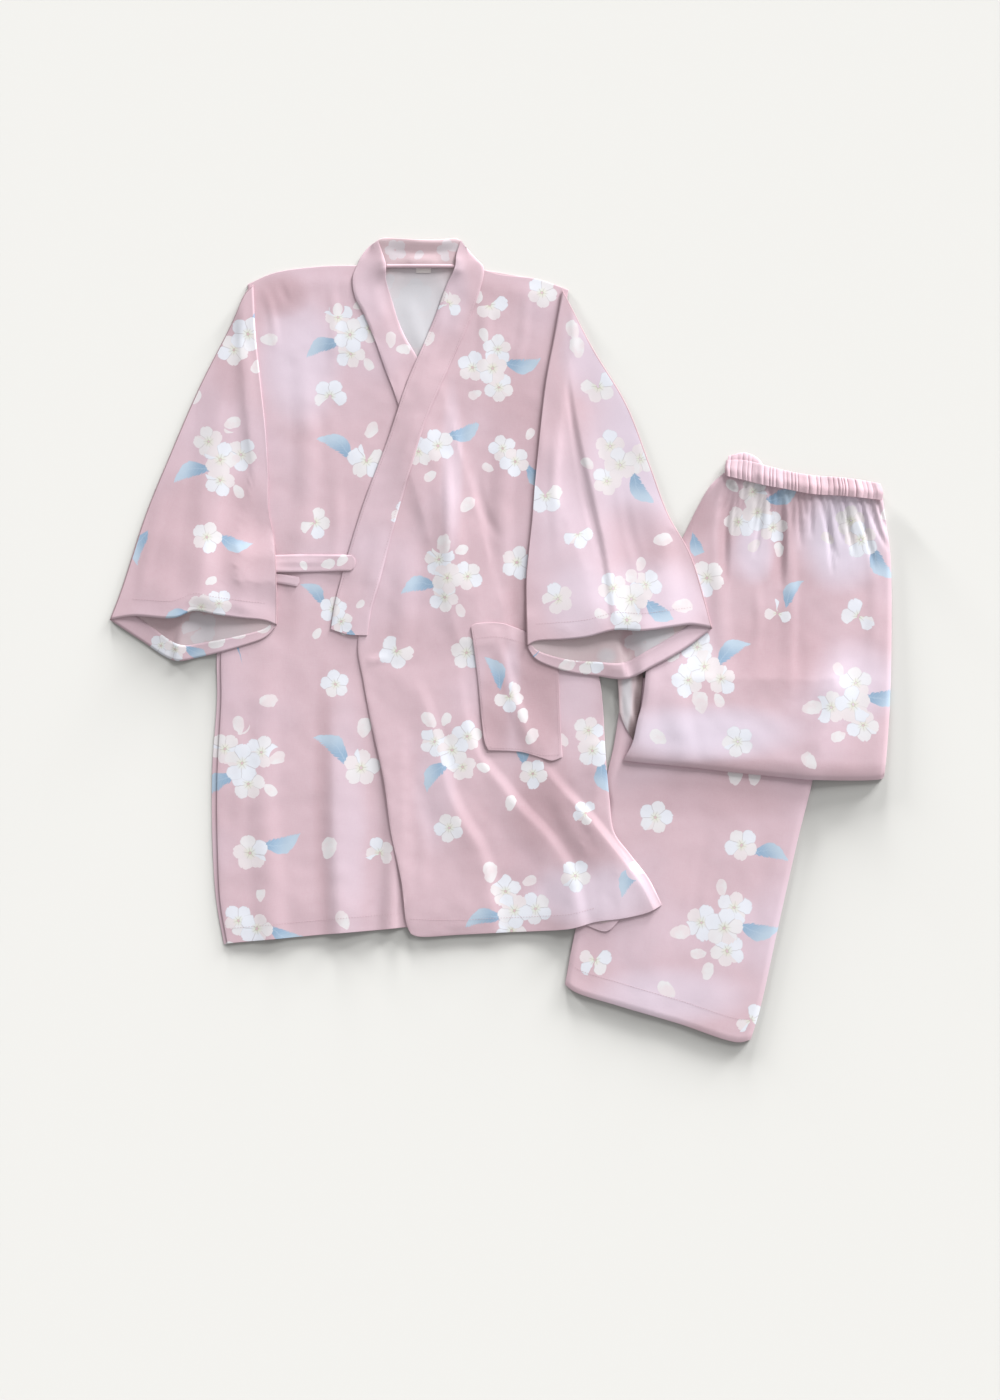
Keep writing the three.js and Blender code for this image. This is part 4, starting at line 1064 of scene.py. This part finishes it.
frontRight = {
    "left": [
        (-314, -347), (-322, -300), (-325, -243), (-326, -185), (-325, -139), (-321, -70), (-320, -1),
        (-297, 95)] + moved(rightArmhole, 1 - allowance),
    "right": [(-46, -322), (-40, -150)] + moved(rightBandSeam, allowance) + [(-158, 429)],
    "foot": [(-314, -350), (-258, -345), (-205, -340), (-134, -334), (-100, -330), (-46, -322)],
    "head": [(-283 - allowance, 408), (-259, 421), (-208, 428), (-180, 429), (-158, 429)], "spacing": 3.8,
    "loft": 0.4, "uneven": 0.4,
    "folds": [
        fold(0, 5, 6.5, 17, 44, [(-190, -40), (-191, -190), (-186, -340)], 0.8),
        fold(0, 3, 3.5, 24, 24, [(-268, 10), (-274, -150), (-262, -346)]),
        fold(0, 4, 5, 16, 12, [(-124, -60), (-122, -190), (-126, -335)]),
        fold(0, 3, 0, 20, 20, [(-228, 330), (-222, 200), (-235, 60)]),
        crease(-1.4, 12, [(-250, 95), (-246, 40), (-250, -30)]),
        crease(1.6, 12, [(-190, 200), (-188, 130), (-196, 60)]),
        crease(1.3, 8, [(-272, 405), (-262, 370), (-258, 330)]),
        crease(-0.9, 7, [(-255, 412), (-244, 385)]),
        crease(1.2, 10, [(-196, 420), (-190, 360), (-196, 300)]),
        crease(1.0, 14, [(-300, -60), (-298, -150), (-302, -250)])],
    "cut": (290, 780), "rests": ["back"]}
layPanel("frontRight", "front_right", frontRight, finishes["frontRight"], finishes["inside"])

collarRight = {
    "left": rightBandSeam + [(-164, 431), (-158, 442), (-150, 451)],
    "right": [
        (-2, 15), (-81, 292), (-97, 325), (-109, 345), (-117, 363), (-125, 389), (-132, 415), (-132, 429),
        (-135, 440), (-141, 458)],
    "foot": [(-40, 4), (-2, 15)], "head": [(-150, 451), (-141, 458)], "spacing": 3.2, "wall": 0.9,
    "edge": 0.06, "loft": 0.2, "uneven": 0.5,
    "folds": [crease(1.4, 12, [(-150, 420), (-138, 380), (-112, 320)])], "cut": (42, 480),
    "rests": ["frontRight", "collarBack", "back"]}
layPanel("collarRight", "collar_right", collarRight, finishes["collarRight"], finishes["inside"])

# the skirt of the over front, its main folds from the hem up; the panel's ribs run along them
crestFold = [(160, -281), (128, -240), (98, -204), (69, -173), (52, -151), (35, -113), (15, -80), (7, -1)]
middleFold = [
    (76, -265), (49, -225), (22, -197), (-1, -168), (-25, -136), (-40, -93), (-47, -59), (-50, 10)]
frontFold = [(-24, -245), (-47, -206), (-63, -170), (-73, -122), (-88, -76), (-108, -30)]
frontLeft = {
    "left": [
        (-103, -339), (-108, -328), (-114, -279), (-126, -222), (-134, -163), (-150, -90), (-158, -46),
        (-164, -9)] + moved(leftBandSeam, -allowance)[1:],
    "right": [
        (185, -306), (170, -276), (148, -247), (130, -222), (125, -185), (121, -139), (114, -47), (85, 60)] +
        moved(leftArmhole, allowance),
    "foot": [
        (-103, -339), (-95, -342), (-47, -340), (-6, -338), (40, -336), (81, -333), (110, -325),
        (141, -321), (170, -314), (185, -306)],
    "head": [(-20 - allowance, 427), (-12, 422), (-1, 419), (40, 414), (57, 409), (71 + allowance, 401)],
    "ribs": [
        {
            "footX": -5, "headX": -4,
            "path": frontFold + [
                (-112, 20), (-104, 80), (-88, 150), (-66, 220), (-42, 280), (-20, 340), (-8, 380)]},
        {
            "footX": 92, "headX": 18,
            "path": middleFold + [(-54, 80), (-52, 140), (-45, 210), (-30, 280), (-5, 340), (10, 380)]},
        {
            "footX": 175, "headX": 42,
            "path": crestFold + [(1, 60), (-1, 120), (2, 180), (10, 245), (22, 310), (36, 370)]}],
    "stripWidths": [8, 7, 8, 5], "spacing": 3.2, "loft": 0.4, "uneven": 0.4, "edge": 0.03,
    "folds": [
        fold(0, 4.1, 5.2, 40, 10, [(4, 40)] + crestFold[::-1] + [(175, -310)], 0.85),
        fold(0, 3.6, 3.1, 34, 12, [(-50, 10)] + middleFold[-2::-1] + [(92, -330)], 0.8),
        fold(0, 3.5, 2.6, 34, 13, frontFold[::-1] + [(-5, -335)], 0.8),
        crease(4, 22, [(-66, 217), (-60, 130), (-53, 45)]), crease(4, 18, [(10, 240), (0, 150), (6, 60)]),
        crease(3, 20, [(-100, 120), (-112, 40), (-116, -30)]),
        crease(1.8, 9, [(-62, 215), (-60, 160), (-62, 60)]),
        crease(-1.6, 9, [(-28, 190), (-20, 150), (2, 110)]),
        crease(1.5, 8, [(-128, -20), (-142, -24), (-155, -26)]),
        crease(1.6, 12, [(-20, 400), (-18, 340), (-30, 280)]),
        crease(1.2, 10, [(30, 405), (26, 350), (14, 290)]),
        crease(-1.4, 8, [(18, 100), (14, 40), (24, -20)]),
        crease(1.4, 14, [(60, -170), (78, -215), (110, -262)]),
        crease(1.2, 12, [(-95, -180), (-88, -240), (-92, -310)])],
    "cut": (330, 790), "rests": ["frontRight", "back", "collarRight"]}
layPanel("frontLeft", "front_left", frontLeft, finishes["frontLeft"], finishes["inside"])

collarLeft = {
    "left": [
        (-195, 11), (-189, 46), (-175, 98), (-157, 156), (-128, 233), (-108, 293), (-87, 342), (-72, 378),
        (-62, 406), (-52, 429), (-51, 440), (-45.5, 458)],
    "right": leftBandSeam + [(-28, 436), (-37, 446)], "foot": [(-195, 11), (-175, 5), (-153, 4)],
    "head": [(-45.5, 458), (-37, 446)], "spacing": 3.2, "wall": 0.9, "edge": 0.06, "loft": 0.2,
    "uneven": 0.5,
    "folds": [
        crease(1.4, 9, [(-60, 425), (-72, 350), (-100, 280)]),
        crease(0.8, 10, [(-150, 150), (-165, 90), (-172, 40)])],
    "cut": (44, 500), "rests": ["frontLeft", "frontRight", "collarRight", "collarBack"]}
layPanel("collarLeft", "collar_left", collarLeft, finishes["collarLeft"], finishes["inside"])

pocket = {
    "left": [(-14, -128), (-18, -120), (-22, -91), (-26, -47), (-32, 0), (-34, 14)],
    "right": [(71, -136), (69, -102), (67, -47), (65, -6)],
    "foot": [(-14, -128), (24, -130), (48, -137), (59, -140), (71, -136)],
    "head": [(-34, 14), (-30, 17), (1, 18), (14, 14), (40, 4), (65, -6)], "spacing": 2.8, "edge": 0.06,
    "loft": 0.2, "wall": 0.6, "folds": [fold(0.8, 2.4, 1.2, 14, 9, [(-5, 6), (15, -66), (37, -126)], 0.6)],
    "uneven": 0.4, "cut": (112, 155), "rests": ["frontLeft"]}
layPanel("pocket", "pocket", pocket, finishes["pocket"], finishes["inside"])

tieShort = {
    "left": [(-290, 67), (-290, 81)], "right": [(-234, 60.5), (-231, 66), (-232, 71)],
    "foot": [(-290, 67), (-258, 64.5), (-234, 60.5)], "head": [(-290, 81), (-258, 75), (-232, 71)],
    "spacing": 2.2, "edge": 0.2, "uneven": 0.3, "cut": (14, 62), "rests": ["frontRight"]}
layPanel("tieShort", "tie_short", tieShort, finishes["plain"], finishes["plain"])

tieLong = {
    "left": [(-290, 77), (-290, 95)], "right": [(-172, 78.5), (-167.5, 83), (-167, 91), (-171, 96)],
    "foot": [(-290, 77), (-232, 77), (-172, 78.5)], "head": [(-290, 95), (-232, 96.5), (-171, 96)],
    "spacing": 2.2, "edge": 0.15, "uneven": 0.4,
    "folds": [crease(1.0, 5, [(-280, 86), (-235, 88), (-190, 88)])], "cut": (18, 125),
    "rests": ["frontRight", "frontLeft", "collarLeft"]}
layPanel("tieLong", "tie_long", tieLong, finishes["plain"], finishes["plain"])

mouth = {"airGap": 0.5, "mouthFrom": 0.45, "mouthRise": 8, "foldRadius": 1.2, "hemTurn": 24}
sleeveRight = {
    **mouth, "across": 205, "armhole": rightArmhole[::-1],
    "shoulderFold": [
        (-284, 407), (-293, 398), (-309, 363), (-346, 290), (-379, 214), (-408, 143), (-436, 57),
        (-449.3, 22)],
    "underarm": [(-267, 182), (-266, 143), (-260, 114), (-257, 60), (-257, 16)],
    "upperCuff": [
        (-449.3, 22), (-423, 26), (-374, 24), (-352, 32), (-327, 28), (-298, 24), (-270, 21), (-257, 16)],
    "lowerCuff": [(-449.3, 22), (-413, -2), (-374, -25), (-346, -21), (-296, -8), (-270, 2), (-257, 16)],
    "folds": [
        fold(0, 6, 6, 30, 40, [(-296, 345), (-314, 300), (-332, 160), (-346, 28)], 0.7),
        fold(0, 2, 2, 22, 22, [(-285, 200), (-300, 120), (-300, 25)]),
        crease(-1.3, 12, [(-312, 280), (-330, 190), (-338, 100)]),
        crease(1.6, 12, [(-385, 170), (-405, 100), (-415, 40)]),
        crease(1.0, 7, [(-290, 390), (-296, 360), (-300, 330)])],
    "lowerFolds": [fold(3.0, 8.0, 5.0, 5, 30, [(-366, 26), (-370, 0), (-375, -25)], 0.7)],
    "cut": (400, 430), "hemCut": (200, 24), "rests": ["frontRight"]}
laySleeve("sleeveRight", "sleeve_right", sleeveRight, finishes["sleeveRight"], finishes["inside"])

sleeveLeft = {
    **mouth, "across": 222, "armhole": leftArmhole[::-1],
    "shoulderFold": [
        (71, 401), (79, 386), (105, 336), (145, 269), (171, 202), (193, 143), (218, 97), (235, 43),
        (243, 12)],
    "underarm": [(39, 171), (36, 136), (32, 100), (29, 66), (30, -8)],
    "upperCuff": [
        (243, 12), (219, 16), (202, 14), (163, 9), (132, 10), (99, 2), (70, -1), (40, -3), (30, -8)],
    "lowerCuff": [
        (243, 12), (211, -12), (175, -32), (145, -46), (112, -43), (87, -40), (61, -33), (40, -23),
        (30, -8)],
    "folds": [
        fold(0, 3.6, 3.0, 4, 22, [(79, 313), (90, 240), (103, 179), (120, 100), (132, 12)], 0.9),
        crease(-1.6, 5, [(74, 310), (84, 240), (96, 170), (114, 90)]),
        fold(0, 2, 2, 22, 22, [(160, 200), (185, 110), (198, 14)]),
        crease(1.2, 10, [(66, 260), (62, 180), (66, 90)]),
        crease(-1.2, 10, [(140, 180), (150, 120), (170, 60)]),
        crease(1.0, 7, [(80, 385), (84, 350), (84, 320)])],
    "lowerFolds": [fold(3.0, 8.0, 5.0, 30, 5, [(132, 10), (138, -18), (146, -46)], 0.7)],
    "cut": (420, 420), "hemCut": (205, 24), "rests": ["frontLeft", "trouserSeat"]}
laySleeve("sleeveLeft", "sleeve_left", sleeveLeft, finishes["sleeveLeft"], finishes["inside"])

# sewing: rows of stitches beside seams and hems, each on the piece it is sewn through
sewing = {"stitch": 2.3, "gap": 0.9, "wide": 0.42, "tall": 0.34, "clear": 0.05, "hem": 20}
onPocket = [
    [(-31, 10), (-29, 0), (-23, -47), (-19, -91), (-14, -117), (-11, -125)],
    [(-11, -125), (24, -127), (48, -133.5), (67.5, -133)], [(67.5, -133), (66, -102), (64, -47), (62, -9)],
    [(-32, 0), (-8, 2.5), (14, -1), (40, -11), (64, -21)]]
rows = [(pocket["laid"], path) for path in onPocket]
rows += [
    (sleeveRight["inside"], [(-366.5, 20), (-369, 4), (-373, -20)]),
    (sleeveLeft["inside"], [(136, 5), (140, -18), (145, -41)]),
    (frontLeft["laid"], [(-104, -322), (-47, -323), (-6, -321), (40, -319), (81, -316), (108, -309)]),
    (frontRight["laid"], [(-313, -333), (-258, -328), (-205, -323), (-134, -317), (-108, -315)]),
    (legs["laid"], [(80, -372), (90, -380), (140, -396), (208, -416), (277, -437), (291, -434)]),
    (sleeveRight["laid"], moved(sleeveRight["upperCuff"][1:-1], 0, sewing["hem"])),
    (sleeveLeft["laid"], moved(sleeveLeft["upperCuff"][1:-1], 0, sewing["hem"])),
    (collarLeft["laid"], moved(leftBandSeam[1:-1], -2.2)),
    (collarLeft["laid"], moved(collarLeft["left"][1:9], 2.6))]
stitchRows("sewing", rows, finishes["thread"])

# floor, light and camera
floorTone = {
    "color": (0.497, 0.493, 0.477, 1), "grain": (0.472, 0.466, 0.450, 1), "roughness": 0.9, "half": 40.0,
    "drop": 0.0003, "grainScale": 40.0, "grainShare": 0.02}
g = Graph("pale_floor")
coord = g.node("ShaderNodeTexCoord", {}, out=3)
grain = g.node("ShaderNodeTexNoise", {}, Vector=coord, Scale=floorTone["grainScale"], Detail=2.0)
color = g.mix(grain * floorTone["grainShare"], floorTone["color"], floorTone["grain"])
floorShader = g.node("ShaderNodeBsdfPrincipled", {}, Roughness=floorTone["roughness"], Base_Color=color)
floorShader.socket.node.inputs["Specular IOR Level"].default_value = 0.0
g.node("ShaderNodeOutputMaterial", {}, floorShader)
bm = bmesh.new()
bmesh.ops.create_grid(bm, x_segments=4, y_segments=4, size=floorTone["half"])
bmesh.ops.translate(bm, vec=(0, 0, -floorTone["drop"]), verts=bm.verts[:])
mesh = bpy.data.meshes.new("floor")
bm.to_mesh(mesh)
bm.free()
mesh.materials.append(g.material)
floor = bpy.data.objects.new("floor", mesh)
bpy.context.scene.collection.objects.link(floor)

lighting = {
    "sky": 0.455, "skyColor": (1.0, 0.998, 0.995, 1),
    "suns": [("key", 2.55, (0.50, 0.76, 0.42), 22), ("rake", 4.8, (0.46, 0.88, 0.135), 12)],
    "floorSuns": [
        ("lowLeft", 8.6, (-0.64, 0.77, 0.087), 9), ("lowRight", 8.6, (0.64, 0.77, 0.087), 9),
        ("lowBehind", 12.5, (-0.06, 0.99, 0.087), 9)]}
world = bpy.data.worlds.new("studio")
world.use_nodes = True
backdrop = world.node_tree.nodes["Background"]
backdrop.inputs["Color"].default_value = lighting["skyColor"]
backdrop.inputs["Strength"].default_value = lighting["sky"]
bpy.context.scene.world = world
# the low lights reach the floor alone and draw the soft shadow round the set
floorOnly = bpy.data.collections.new("floorOnly")
floorOnly.objects.link(floor)
for name, strength, source, wide in lighting["suns"] + lighting["floorSuns"]:
    sun = bpy.data.lights.new(name, "SUN")
    sun.energy = strength
    sun.angle = math.radians(wide)
    lamp = bpy.data.objects.new(name, sun)
    lamp.rotation_mode = "QUATERNION"
    lamp.rotation_quaternion = Vector(source).to_track_quat("Z", "Y")
    if name.startswith("low"):
        lamp.light_linking.receiver_collection = floorOnly
    bpy.context.scene.collection.objects.link(lamp)

view = {"centre": (-0.0006, -0.0702), "distance": 4.0, "tall": 1.61, "sensor": 36.0}
lens = bpy.data.cameras.new("camera")
lens.sensor_fit = "VERTICAL"
lens.sensor_height = lens.sensor_width = view["sensor"]
lens.lens = view["sensor"] * view["distance"] / view["tall"]
camera = bpy.data.objects.new("camera", lens)
camera.location = (view["centre"][0], view["centre"][1], view["distance"])
bpy.context.scene.collection.objects.link(camera)
bpy.context.scene.camera = camera
bpy.context.scene.view_settings.view_transform = "Standard"
bpy.context.scene.view_settings.look = "None"

print("scene ready")
